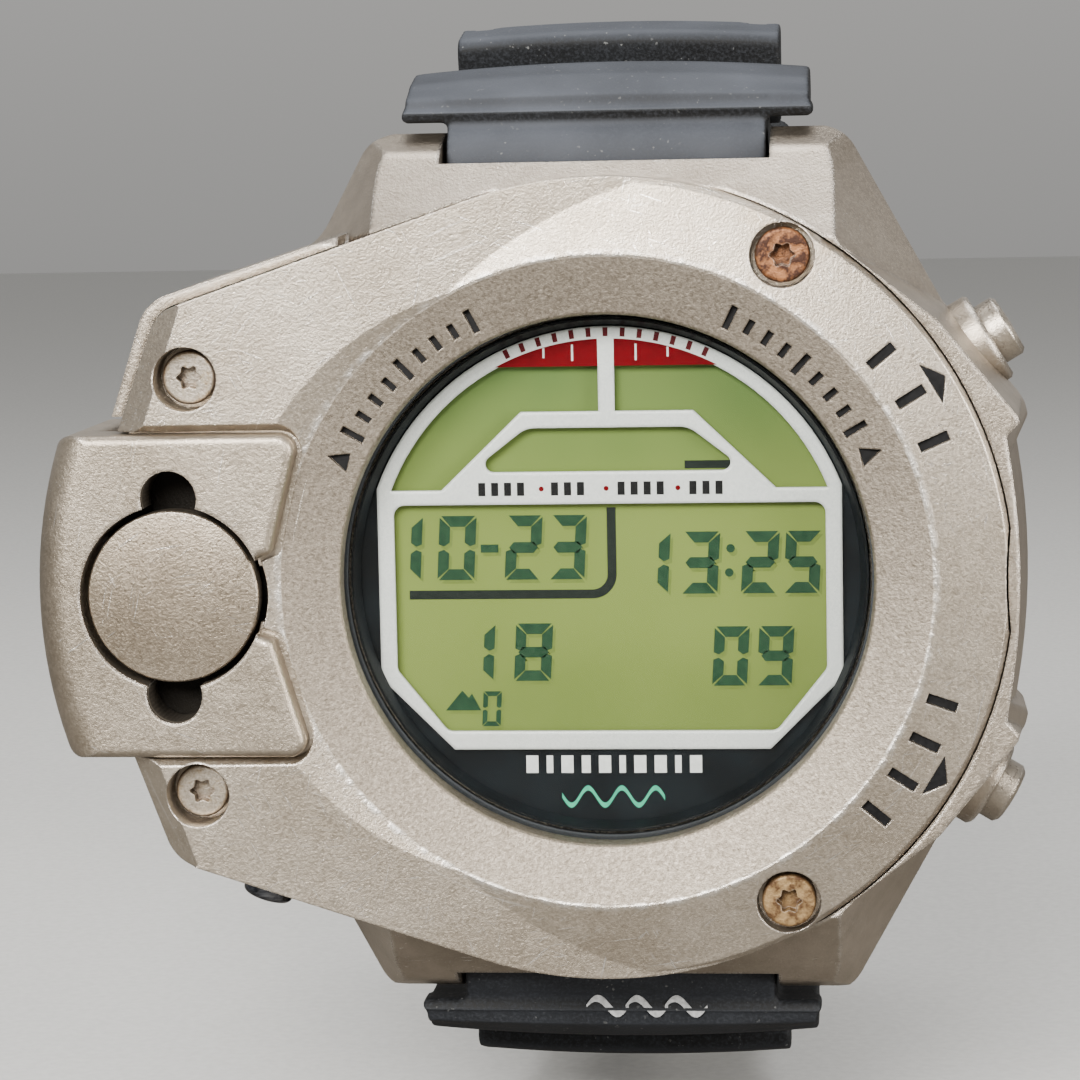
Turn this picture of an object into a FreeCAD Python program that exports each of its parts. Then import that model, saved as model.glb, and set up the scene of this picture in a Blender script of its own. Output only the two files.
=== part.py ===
"""A wrist dive computer: a titanium case with a round display window, a screwed cover plate, a pressure
sensor housing on its left side, two pushers on its right side and a two-piece ribbed rubber strap.

Every watch piece is drawn lying on its back: x to the 3 o'clock side, y to 12 o'clock and z out of the
display, with z = 0 on the outer face of the case back. The STAND placement then stands it up, so that in the
row frame 12 o'clock is +Z and the display looks along -Y. Lengths are in millimetres, angles in degrees.
"""

import FreeCAD, Part
import math
import os

import Sketcher
from FreeCAD import Placement, Rotation, Vector

SIZES = {
    # case and lugs, heights from the case back
    "case_radius": 25.6,
    "case_bottom": 0.8,
    "case_waist_low": 3.2,
    "case_waist_high": 8.0,
    "case_shoulder": 15.2,
    "lug_taper": 27.0,
    "drum_taper": 11.0,
    "guard_taper": 6.5,
    "flank_taper": 1.5,
    "case_under_taper": 25.0,
    "cavity_radius": 16.0,
    "lug_gap": 20.2,
    "lug_tip": 27.2,
    "lug_wall": 25.3,
    "lug_hole_radius": 0.55,
    "lug_hole_reach": 11.5,
    "bar_reach": 24.9,
    "bar_height": 5.0,
    # cover plate
    "cover_seat": 12.4,
    "cover_radius": 24.45,
    "cover_rim": 15.4,
    "rim_dip": 0.4,
    "rim_dip_radius": 30.0,
    "ridge_radius": 19.8,
    "ridge_height": 16.0,
    "window_radius": 16.2,
    "dish_height": 15.1,
    "cover_screw_x": 10.9,
    "cover_screw_y": 19.6,
    "wing_screw_x": 25.1,
    "wing_screw_y": 12.75,
    "screw_head_radius": 1.65,
    "screw_well_radius": 1.95,
    "screw_well_floor": 14.1,
    "screw_thread_radius": 0.8,
    # window and display stack
    "crystal_radius": 16.05,
    "crystal_flange_radius": 17.1,
    "crystal_top": 14.9,
    "flange_bottom": 12.55,
    "flange_top": 13.4,
    "dial_outer_radius": 15.9,
    "mask_bottom": 11.3,
    "mask_thickness": 0.3,
    "dial_bottom": 10.95,
    "dial_thickness": 0.3,
    "lcd_bottom": 9.7,
    "lcd_thickness": 1.2,
    "lcd_radius": 15.4,
    "reflector_bottom": 9.3,
    "reflector_thickness": 0.35,
    "board_bottom": 8.3,
    "board_thickness": 0.7,
    "frame_bottom": 2.95,
    "frame_top": 8.25,
    "frame_outer_radius": 15.7,
    "frame_inner_radius": 12.6,
    "battery_radius": 12.25,
    "battery_bottom": 3.2,
    "battery_thickness": 3.0,
    # case back
    "back_radius": 18.6,
    "back_seat": 1.6,
    "back_boss_radius": 15.9,
    "back_boss_top": 2.7,
    "back_screw_circle": 17.35,
    "back_screw_radius": 0.5,
    # pressure sensor, at the 9 o'clock side
    "sensor_x": 26.2,
    "sensor_drop": 0.45,
    "sensor_bore_radius": 3.3,
    "housing_bottom": 5.0,
    "housing_seat": 13.95,
    "housing_top": 17.4,
    "housing_hole_radius": 5.65,
    "housing_half": 9.87,
    "housing_near_round": 0.5,
    "housing_far_round": 2.2,
    "housing_far_radius": 30.0,
    "vent_radius": 1.72,
    "vent_reach": 6.0,
    "cap_radius": 5.25,
    "cap_bottom": 15.4,
    "cap_top": 17.1,
    # pushers, at 2 and 4 o'clock
    "pusher_angle": 31.0,
    "pusher_height": 6.6,
    "collar_radius": 2.95,
    "collar_bore_radius": 2.06,
    "collar_inner": 23.6,
    "collar_outer": 27.4,
    "button_radius": 2.0,
    "button_outer": 28.8,
    "button_inner": 26.2,
    "stem_radius": 0.9,
    "stem_hole_radius": 0.95,
    "stem_end": 15.2,
    # spring bars
    "bar_tube_radius": 0.9,
    "bar_tube_bore": 0.7,
    "bar_tube_half": 9.6,
    "bar_tip_radius": 0.5,
    "bar_tip_end": 11.35,
    # strap
    "upper_start_angle": 55.0,
    "lower_start_angle": 50.0,
    "strap_bend": 32.0,
    "strap_long_bend": 75.0,
    "strap_roll_radius": 4.0,
    "strap_end_width": 19.7,
    "shoulder_width": 25.0,
    "rib_width": 21.0,
    "band_width": 18.5,
    "band_thickness": 3.2,
    "upper_length": 60.0,
    "lower_bend_length": 20.0,
    "lower_length": 92.0,
    "strap_bar_bore": 0.95,
    "tang_slot_width": 3.4,
    "hole_radius": 1.25,
    "hole_pitch": 6.0,
    "hole_count": 8,
    # buckle and keepers
    "buckle_inner_half": 9.7,
    "buckle_outer_half": 12.1,
    "buckle_reach": 13.2,
    "buckle_bar": 2.4,
    "buckle_thickness": 2.2,
    "pin_radius": 0.8,
    "keeper_length": 5.0,
    "keeper_wall": 1.2,
}

LUG_SIDE_ANGLE = 28.0  # the lug's side leaves the case circle at this angle
WING_TANGENT_ANGLE = 108.7  # the wing's straight edge leaves the cover circle here
WING_CORNER = (-26.9, 16.72)
WING_SIDE = (-30.7, 6.3)
WING_CORNER_RADIUS = 2.2
RIB_STARTS = (10.6, 16.6, 22.4)
RIB_LENGTH = 4.0
RIB_RISE = 4.2  # of the first rib; each rib after it is lower and narrower by RIB_STEP
RIB_STEP = 0.6
NECK_LENGTH = 7.4
# side outlines, in (y, z), of the upper strap's neck wall and of the wide shoulder over the lug tips
NECK_WALL = [(25.6, 8.6), (26.8, 8.1), (29.4, 7.8), (30.4, 5.5), (29.0, 2.0), (26.0, 3.0)]
SHOULDER = [
    (27.8, 7.6), (28.4, 7.9), (29.5, 7.7, 0.6), (30.7, 5.8, 1.5), (31.4, 3.0, 1.5), (31.5, 0.6, 1.0),
    (30.6, -1.4, 0.8), (28.2, -1.4), (28.0, 2.0), (28.0, 5.5),
]
KEEPER_PLACES = {"sliding_keeper": 44.0, "fixed_keeper": 53.0}
THROUGH = 80.0  # longer than any piece, for cuts that go right through

STAND = Placement(Vector(0, 0, 0), Rotation(Vector(1, 0, 0), 90))

doc = FreeCAD.newDocument("dive_computer")
sheet = doc.addObject("Spreadsheet::Sheet", "Sizes")
for row, (alias, value) in enumerate(SIZES.items(), start=1):
    sheet.set(f"A{row}", alias)
    sheet.set(f"B{row}", str(value))
    sheet.setAlias(f"B{row}", alias)
doc.recompute()

nodes = {}


def mm(alias):
    """A driving dimension, read back from the sheet."""
    return float(sheet.get(alias))


# ---------------------------------------------------------------------------------------------- toolkit


def keep(label, obj, placement=STAND):
    """Names a finished object as one node of the assembly and puts it in its place."""
    obj.Label = label
    obj.Placement = placement
    nodes[label] = obj
    return obj


def new_body(name):
    return doc.addObject("PartDesign::Body", name)


def origin_plane(body, role):
    return next(f for f in body.Origin.OriginFeatures if f.Role == role)


def new_sketch(body, role="XY_Plane", height=None, offset=None):
    """A sketch on one of the body's origin planes, raised by a sheet expression or placed by an offset."""
    sketch = body.newObject("Sketcher::SketchObject", f"{body.Name}_sketch")
    sketch.AttachmentSupport = [(origin_plane(body, role), "")]
    sketch.MapMode = "FlatFace"
    if offset is not None:
        sketch.AttachmentOffset = offset
    if height is not None:
        sketch.setExpression("AttachmentOffset.Base.z", height)
    return sketch


def circle(sketch, radius, x=0.0, y=0.0):
    """A circle at x, y whose radius is a sheet expression."""
    index = sketch.addGeometry(Part.Circle(Vector(x, y, 0), Vector(0, 0, 1), 1.0))
    if x == 0 and y == 0:
        sketch.addConstraint(Sketcher.Constraint("Coincident", index, 3, -1, 1))
    else:
        sketch.addConstraint(Sketcher.Constraint("DistanceX", -1, 1, index, 3, x))
        sketch.addConstraint(Sketcher.Constraint("DistanceY", -1, 1, index, 3, y))
    bound = sketch.addConstraint(Sketcher.Constraint("Radius", index, 1.0))
    sketch.setExpression(f"Constraints[{bound}]", radius)


def loop(sketch, corners):
    """A closed outline from corners (x, y) or (x, y, corner radius), with the round corners as arcs."""
    points = [Vector(c[0], c[1], 0) for c in corners]
    radii = [c[2] if len(c) > 2 else 0.0 for c in corners]
    count = len(points)
    entries, exits = [], []
    arcs = [None] * count
    for i, (point, radius) in enumerate(zip(points, radii)):
        if radius == 0:
            entries.append(point)
            exits.append(point)
            continue
        back = (points[i - 1] - point).normalize()
        ahead = (points[(i + 1) % count] - point).normalize()
        half = back.getAngle(ahead) / 2
        bisector = (back + ahead).normalize()
        centre = point + bisector * (radius / math.sin(half))
        entries.append(point + back * (radius / math.tan(half)))
        exits.append(point + ahead * (radius / math.tan(half)))
        middle = centre - bisector * radius
        arcs[i] = Part.Arc(entries[-1], middle, exits[-1])
    for i in range(count):
        if arcs[i] is not None:
            sketch.addGeometry(arcs[i])
        start, end = exits[i], entries[(i + 1) % count]
        if (end - start).Length > 1e-6:
            sketch.addGeometry(Part.LineSegment(start, end))


def pad(body, sketch, length, both_ways=False, down=False, taper=None):
    feature = body.newObject("PartDesign::Pad", f"{body.Name}_pad")
    feature.Profile = sketch
    feature.SideType = "Symmetric" if both_ways else "One side"
    feature.Reversed = down
    feature.setExpression("Length", str(length))
    if taper is not None:
        feature.setExpression("TaperAngle", taper)
    doc.recompute()
    return feature


def pocket(body, sketch, depth, both_ways=False, up=False, taper=None):
    """Cuts down from the sketch, up from it, or both ways, and stops if nothing was removed."""
    before = body.Shape.Volume
    feature = body.newObject("PartDesign::Pocket", f"{body.Name}_pocket")
    feature.Profile = sketch
    feature.SideType = "Symmetric" if both_ways else "One side"
    feature.Reversed = up
    feature.setExpression("Length", str(depth))
    if taper is not None:
        feature.setExpression("TaperAngle", taper)
    doc.recompute()
    if not body.Shape.Volume < before - 1e-6:
        raise RuntimeError(f"{feature.Name} in {body.Name} cut nothing")
    return feature


def turn(body, corners):
    """Adds the solid swept by a profile of (radius, height) corners turned about the body's z axis."""
    sketch = new_sketch(body, "XZ_Plane")
    loop(sketch, corners)
    feature = body.newObject("PartDesign::Revolution", f"{body.Name}_turn")
    feature.Profile = sketch
    feature.ReferenceAxis = (sketch, ["V_Axis"])
    feature.Angle = 360
    doc.recompute()
    return feature


def groove(body, corners, centre=(0, 0)):
    """Removes the solid swept by a profile of (radius, height) corners turned about an axis along z."""
    before = body.Shape.Volume
    across, up = centre
    sketch = new_sketch(body, "XZ_Plane", offset=Placement(Vector(across, 0, -up), Rotation()))
    loop(sketch, corners)
    feature = body.newObject("PartDesign::Groove", f"{body.Name}_groove")
    feature.Profile = sketch
    feature.ReferenceAxis = (sketch, ["V_Axis"])
    feature.Angle = 360
    doc.recompute()
    if not body.Shape.Volume < before - 1e-6:
        raise RuntimeError(f"{feature.Name} in {body.Name} cut nothing")
    return feature


def turned_piece(label, corners, placement=STAND):
    body = new_body(label)
    turn(body, corners)
    return keep(label, body, placement)


def disc(label, radius, thickness, height):
    """A flat round plate with its sizes and height bound to the sheet."""
    body = new_body(label)
    sketch = new_sketch(body, height=height)
    circle(sketch, radius)
    pad(body, sketch, thickness)
    return body


def ring(label, outer, inner, thickness, height):
    body = new_body(label)
    sketch = new_sketch(body, height=height)
    circle(sketch, outer)
    circle(sketch, inner)
    pad(body, sketch, thickness)
    return body


def rod(name, radius, length, placement):
    """A plain cylinder about its own z axis."""
    piece = doc.addObject("Part::Cylinder", name)
    piece.setExpression("Radius", str(radius))
    piece.setExpression("Height", str(length))
    piece.Placement = placement
    return piece


def block(name, low, high):
    """A box between two corners."""
    piece = doc.addObject("Part::Box", name)
    piece.Length, piece.Width, piece.Height = (b - a for a, b in zip(low, high))
    piece.Placement = Placement(Vector(*low), Rotation())
    return piece


def group(label, pieces, placement=STAND):
    """Several separate solids of one kind, kept together as one node."""
    compound = doc.addObject("Part::Compound", label)
    compound.Links = pieces
    return keep(label, compound, placement)


def copies(label, master, places, placement=STAND):
    """One solid repeated at several places as one node."""
    links = []
    for number, place in enumerate(places, start=1):
        link = doc.addObject("App::Link", f"{label}_{number}")
        link.LinkedObject = master
        link.LinkPlacement = place
        links.append(link)
    return group(label, links, placement)


def coil(name, mean_radius, wire_radius, pitch, height, placement):
    """A coil spring about its own z axis, from z = 0 to its height."""
    helix = doc.addObject("Part::Helix", f"{name}_path")
    helix.Radius, helix.Pitch, helix.Height = mean_radius, pitch, height
    wire = doc.addObject("Part::Circle", f"{name}_wire")
    wire.Radius = wire_radius
    wire.Placement = Placement(Vector(mean_radius, 0, 0), Rotation(Vector(1, 0, 0), 90))
    sweep = doc.addObject("Part::Sweep", f"{name}_sweep")
    sweep.Sections = [wire]
    sweep.Spine = helix
    sweep.Solid = True
    sweep.Frenet = True
    return keep(name, sweep, placement)


def polar(radius, degrees):
    angle = math.radians(degrees)
    return radius * math.cos(angle), radius * math.sin(angle)


def mirrored(corners):
    """The same outline on the other side of the 3-9 o'clock line."""
    return [(c[0], -c[1], *c[2:]) for c in reversed(corners)]


# ---------------------------------------------------------------------------------- case and case back


def cover_outline(gap=0.0):
    """The cover's round rim, running into straight-sided wing edges on the sensor side."""
    radius = mm("cover_radius") + gap
    corner_height = radius * math.tan(math.radians(WING_TANGENT_ANGLE / 2))
    upper = [
        (radius, corner_height, radius),
        (WING_CORNER[0] - gap, WING_CORNER[1] + gap, WING_CORNER_RADIUS),
        (WING_SIDE[0] - gap, WING_SIDE[1], 1.0),
    ]
    return upper + mirrored(upper)


GUARD = [(26.3, 0, 45.0), (24.95, 8.3), (25.75, 9.2, 0.6), (25.5, 10.2, 1.5), (20.6, 16.2, 2.0)]
LUG_ROOT = [(-18.2, 20.3, 4.0), (-24.0, 18.6), (-24.0, 6.0)]


def case_outline():
    """The case circle with the lugs' straight sides leaving it as tangents, cut off at the lug tips."""
    radius, tip = mm("case_radius"), mm("lug_tip")
    angle = math.radians(LUG_SIDE_ANGLE)
    tip_x = (radius - tip * math.sin(angle)) / math.cos(angle)
    upper = [(tip_x, tip, 2.6), (-tip_x, tip, 2.6)] + LUG_ROOT
    return GUARD + upper + mirrored(upper) + mirrored(GUARD)[:-1]


def guard_outline():
    """The bulging wall between the pushers, drawing in at its ends until it meets the lugs' sloping sides."""
    ends = [(14.9, 20.6), (12.0, 20.6)]
    return GUARD + ends + mirrored(ends) + mirrored(GUARD)[:-1]


def flank_outline():
    """The wall that wraps the wing's upper edge, from the lug's root to the sensor housing."""
    return [(-15.5, 21.5), (-18.6, 20.55), (-27.9, 17.6, 3.0), (-30.4, 10.1), (-24.0, 10.1), (-15.5, 15.0)]


def wing_outline():
    """The case under the cover's wing, set in a little from the cover's edge."""
    upper = [(-8.0, 22.5), (-26.6, 16.5, 2.0), (-30.6, 6.3, 1.0)]
    return upper + mirrored(upper)


def lug_profile_cut(side):
    """What is removed outside the lug's side profile, in (y, z)."""
    tip = mm("lug_tip")
    corners = [(20.6, 15.2), (tip - 1.2, 10.2, 2.0), (tip, 6.5, 2.0), (tip - 0.2, 3.4, 2.0), (25.3, 0.7)]
    corners += [(25.3, -5.0), (40.0, -5.0), (40.0, 25.0), (20.6, 25.0)]
    return [(side * c[0], *c[1:]) for c in corners]


def radial_frame(degrees, height, distance=0.0):
    """A frame whose z axis points outwards from the case at an angle from 3 o'clock."""
    x, y = polar(1.0, degrees)
    outwards = Vector(x, y, 0)
    return Placement(outwards * distance + Vector(0, 0, height), Rotation(Vector(0, 0, 1), outwards))


CONTACT_POINT = Vector(-22.15, -19.3, 6.8)
CONTACT_DIRECTION = Vector(-0.317, -0.948, 0)


def contact_frame():
    """The water contact's frame: origin on the wing's lower wall, z axis out of that wall."""
    return Placement(CONTACT_POINT, Rotation(Vector(0, 0, 1), CONTACT_DIRECTION))


def bores(name, master, cutters):
    """Cuts a set of cylinders out of a body and returns the result."""
    tools = doc.addObject("Part::MultiFuse", f"{name}_bores")
    tools.Shapes = cutters
    cut = doc.addObject("Part::Cut", f"{name}_bored")
    cut.Base = master
    cut.Tool = tools
    return cut


def make_case_body():
    body = new_body("case_body_shell")
    outline = case_outline()

    waist = new_sketch(body, height="Sizes.case_waist_low")
    loop(waist, outline)
    pad(body, waist, "Sizes.case_waist_high - Sizes.case_waist_low")
    shoulder = new_sketch(body, height="Sizes.case_waist_high")
    loop(shoulder, outline)
    pad(body, shoulder, "Sizes.case_shoulder - Sizes.case_waist_high", taper="-Sizes.lug_taper")
    drum = new_sketch(body, height="Sizes.case_waist_high")
    circle(drum, "Sizes.case_radius")
    pad(body, drum, "Sizes.cover_seat - Sizes.case_waist_high", taper="-Sizes.drum_taper")
    under = new_sketch(body, height="Sizes.case_waist_low")
    loop(under, outline)
    pad(body, under, "Sizes.case_waist_low - Sizes.case_bottom", down=True, taper="-Sizes.case_under_taper")
    wing = new_sketch(body, height="Sizes.case_bottom")
    loop(wing, wing_outline())
    pad(body, wing, "Sizes.cover_seat - Sizes.case_bottom")
    guard = new_sketch(body, height="Sizes.case_waist_high")
    loop(guard, guard_outline())
    pad(body, guard, "Sizes.case_shoulder - Sizes.case_waist_high", taper="-Sizes.guard_taper")
    flank = new_sketch(body, height="Sizes.case_waist_low")
    loop(flank, flank_outline())
    pad(body, flank, "Sizes.case_shoulder - Sizes.case_waist_low", taper="-Sizes.flank_taper")

    seat = new_sketch(body, height="Sizes.case_shoulder")
    loop(seat, cover_outline(gap=0.08))
    pocket(body, seat, "Sizes.case_shoulder - Sizes.cover_seat")
    into_dip = new_sketch(body, height="Sizes.cover_seat - 0.5")
    dip_edge, outside = mm("cover_radius") - mm("rim_dip") + 0.08, mm("cover_radius") + 0.3
    lens = [(outside, 3.2), (24.35, 3.2), (dip_edge - 0.1, 0, mm("rim_dip_radius"))]
    loop(into_dip, lens + [(24.35, -3.2), (outside, -3.2)])
    pad(body, into_dip, "Sizes.case_shoulder - Sizes.cover_seat + 0.5")
    lugs = new_sketch(body, "YZ_Plane")
    loop(lugs, lug_profile_cut(1))
    loop(lugs, lug_profile_cut(-1))
    pocket(body, lugs, THROUGH, both_ways=True)

    wall, outside = mm("lug_wall"), mm("lug_wall") + 10
    gap = new_sketch(body, "YZ_Plane")
    for side in (1, -1):
        loop(gap, [(side * y, z) for y, z in ((wall, -5), (outside, -5), (outside, 20), (wall, 20))])
    pocket(body, gap, "Sizes.lug_gap", both_ways=True)
    for side in (1, -1):
        barrel = new_sketch(body, "YZ_Plane")
        circle(barrel, "Sizes.strap_roll_radius + 0.3", side * mm("bar_reach"), mm("bar_height"))
        pocket(body, barrel, "Sizes.lug_gap", both_ways=True)
        hole = new_sketch(body, "YZ_Plane")
        circle(hole, "Sizes.lug_hole_radius", side * mm("bar_reach"), mm("bar_height"))
        pocket(body, hole, "2 * Sizes.lug_hole_reach", both_ways=True)

    cavity = new_sketch(body, height="Sizes.cover_seat")
    circle(cavity, "Sizes.cavity_radius")
    pocket(body, cavity, THROUGH)
    groove(body, [(15, 11.9), (17.4, 11.9), (17.4, 13), (15, 13)])
    groove(body, [(15, 0), (18.8, 0), (18.8, mm("back_seat")), (15, mm("back_seat"))])

    sensor = new_sketch(body, height="Sizes.cover_seat")
    circle(sensor, "Sizes.sensor_bore_radius", -mm("sensor_x"), -mm("sensor_drop"))
    pocket(body, sensor, 8.4)
    threads = new_sketch(body, height="Sizes.cover_seat")
    for x, y in cover_screw_places():
        circle(threads, "Sizes.screw_thread_radius + 0.02", x, y)
    pocket(body, threads, 4.2)
    back_threads = new_sketch(body, height="Sizes.back_seat")
    for x, y in back_screw_places():
        circle(back_threads, "Sizes.back_screw_radius + 0.02", x, y)
    pocket(body, back_threads, 3.2, up=True)

    cutters = []
    for number, sign in enumerate((1, -1)):
        angle = sign * mm("pusher_angle")
        height = mm("pusher_height")
        stem_frame = radial_frame(angle, height, 14)
        cutters.append(rod(f"stem_bore_{number}", "Sizes.stem_hole_radius", 12, stem_frame))
        seat_frame = radial_frame(angle, height, mm("collar_inner"))
        cutters.append(rod(f"collar_bore_{number}", "Sizes.collar_radius", 8, seat_frame))
    into = contact_frame().multiply(Placement(Vector(0, 0, -3.2), Rotation()))
    cutters.append(rod("contact_bore", 2.2, 8, into))
    lead = contact_frame().multiply(Placement(Vector(0, 0, -15.0), Rotation()))
    cutters.append(rod("contact_lead_bore", 0.7, 12, lead))
    wires = Placement(Vector(-24, -mm("sensor_drop"), 5.3), Rotation(Vector(0, 1, 0), 90))
    cutters.append(rod("sensor_lead_bore", 0.9, 10, wires))
    keep("case_body", bores("case_body", body, cutters))


def cover_screw_places():
    x, y = mm("cover_screw_x"), mm("cover_screw_y")
    wing_x, wing_y = mm("wing_screw_x"), mm("wing_screw_y")
    return [(x, y), (x, -y), (-wing_x, wing_y), (-wing_x, -wing_y)]


def back_screw_places():
    return [polar(mm("back_screw_circle"), angle) for angle in (45, 135, 225, 315)]


def make_back_cover():
    body = disc("back_cover", "Sizes.back_radius", "Sizes.back_seat - 0.05", "0")
    boss = new_sketch(body, height="Sizes.back_seat - 0.1")
    circle(boss, "Sizes.back_boss_radius")
    pad(body, boss, "Sizes.back_boss_top - Sizes.back_seat + 0.1")
    recess = new_sketch(body, height="Sizes.back_boss_top")
    circle(recess, "9.0")
    pocket(body, recess, 1.0)
    groove(body, [(15.0, 1.75), (17.0, 1.75), (17.0, 2.45), (15.0, 2.45)])
    groove(body, [(11.6, -1.0), (12.4, -1.0), (12.4, 0.25), (11.6, 0.25)])
    groove(body, [(18.0, -0.5), (18.9, -0.5), (18.9, 0.6)])
    wells = new_sketch(body, height="0")
    for x, y in back_screw_places():
        circle(wells, "1.0", x, y)
    pocket(body, wells, 0.7, up=True)
    holes = new_sketch(body, height="0")
    for x, y in back_screw_places():
        circle(holes, "Sizes.back_screw_radius + 0.1", x, y)
    pocket(body, holes, 5, up=True)
    keep("back_cover", body)

    gasket = doc.addObject("Part::Torus", "back_gasket")
    gasket.Radius1, gasket.Radius2 = 15.5, 0.32
    keep("back_gasket", gasket, STAND.multiply(Placement(Vector(0, 0, 2.1), Rotation())))


def star(sketch, outer, inner):
    """A six-lobed driver socket."""
    corners = []
    for lobe in range(6):
        corners.append((*polar(outer, 60 * lobe), 0.12))
        corners.append((*polar(inner, 60 * lobe + 30), 0.12))
    loop(sketch, corners)


def screw_master(name, head_radius, head_height, shank_radius, shank_length, socket):
    """A pan-head screw with its head's underside at z = 0 and its shank pointing down."""
    body = new_body(name)
    corners = [(0, -shank_length), (shank_radius - 0.2, -shank_length), (shank_radius, 0.2 - shank_length)]
    corners += [(shank_radius, 0), (head_radius, 0), (head_radius, head_height, 0.25), (0, head_height)]
    turn(body, corners)
    drive = new_sketch(body, offset=Placement(Vector(0, 0, head_height), Rotation()))
    star(drive, socket, socket * 0.66)
    pocket(body, drive, head_height * 0.7)
    return body


def make_screws():
    shank = mm("screw_thread_radius")
    cover = screw_master("cover_screw", mm("screw_head_radius"), 1.2, shank, 5.5, 0.85)
    floor = mm("screw_well_floor")
    places = [Placement(Vector(x, y, floor), Rotation()) for x, y in cover_screw_places()]
    copies("cover_screws", cover, places)

    back = screw_master("back_screw", 0.95, 0.6, mm("back_screw_radius"), 3.0, 0.5)
    over = Rotation(Vector(1, 0, 0), 180)
    places = [Placement(Vector(x, y, 0.7), over) for x, y in back_screw_places()]
    copies("back_screws", back, places)

    small = screw_master("housing_screw", 1.1, 0.6, 0.6, 2.6, 0.55)
    places = [Placement(Vector(x, y, 13.05), over) for x, y in housing_screw_places()]
    copies("housing_screws", small, places)


# ------------------------------------------------------------------------------------------ cover plate


def housing_point(x, y):
    """A point given from the sensor's centre."""
    return x - mm("sensor_x"), y - mm("sensor_drop")


def housing_outline(corners):
    return [(*housing_point(c[0], c[1]), *c[2:]) for c in corners]


def housing_screw_places():
    return [housing_point(x, y) for x, y in ((5.0, 7.4), (5.0, -7.4), (-2.7, 7.6), (-2.7, -7.6))]


WING_SLOPE = 3.0  # degrees


def wing_top(x):
    """Height of the wing's flat top, which rises gently towards the sensor."""
    return mm("ridge_height") + math.tan(math.radians(WING_SLOPE)) * (-x - 9.3)


def bar_mark(sketch, radius, degrees, long_side, short_side):
    """A short engraved bar that points at the display's centre."""
    centre = Vector(*polar(radius, degrees), 0)
    along = Vector(*polar(long_side / 2, degrees), 0)
    across = Vector(*polar(short_side / 2, degrees + 90), 0)
    turns = ((1, 1), (-1, 1), (-1, -1), (1, -1))
    corners = [centre + along * a + across * b for a, b in turns]
    loop(sketch, [(c.x, c.y) for c in corners])


def arrow_mark(sketch, points):
    """A three-cornered engraved arrow from (radius, degrees) points."""
    loop(sketch, [polar(*point) for point in points])


def space_above_cover():
    """Everything above the cover: over both the wing's flat top and the rim's cone round the ridge."""
    over_wing = new_body("over_wing")
    slope = new_sketch(over_wing, "XZ_Plane")
    loop(slope, [(-40, wing_top(-40)), (40, wing_top(40)), (40, 25), (-40, 25)])
    pad(over_wing, slope, THROUGH, both_ways=True)
    over_rim = new_body("over_rim")
    ridge, rim, edge = mm("ridge_radius"), mm("cover_rim"), mm("cover_radius") - 0.3
    drop = 12.0
    corners = [(0, mm("ridge_height")), (ridge, mm("ridge_height")), (edge, rim), (edge + drop, rim - drop)]
    turn(over_rim, corners + [(60, rim - drop), (60, 30), (0, 30)])
    space = doc.addObject("Part::Common", "space_above_cover")
    space.Base, space.Tool = over_wing, over_rim
    return space


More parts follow.
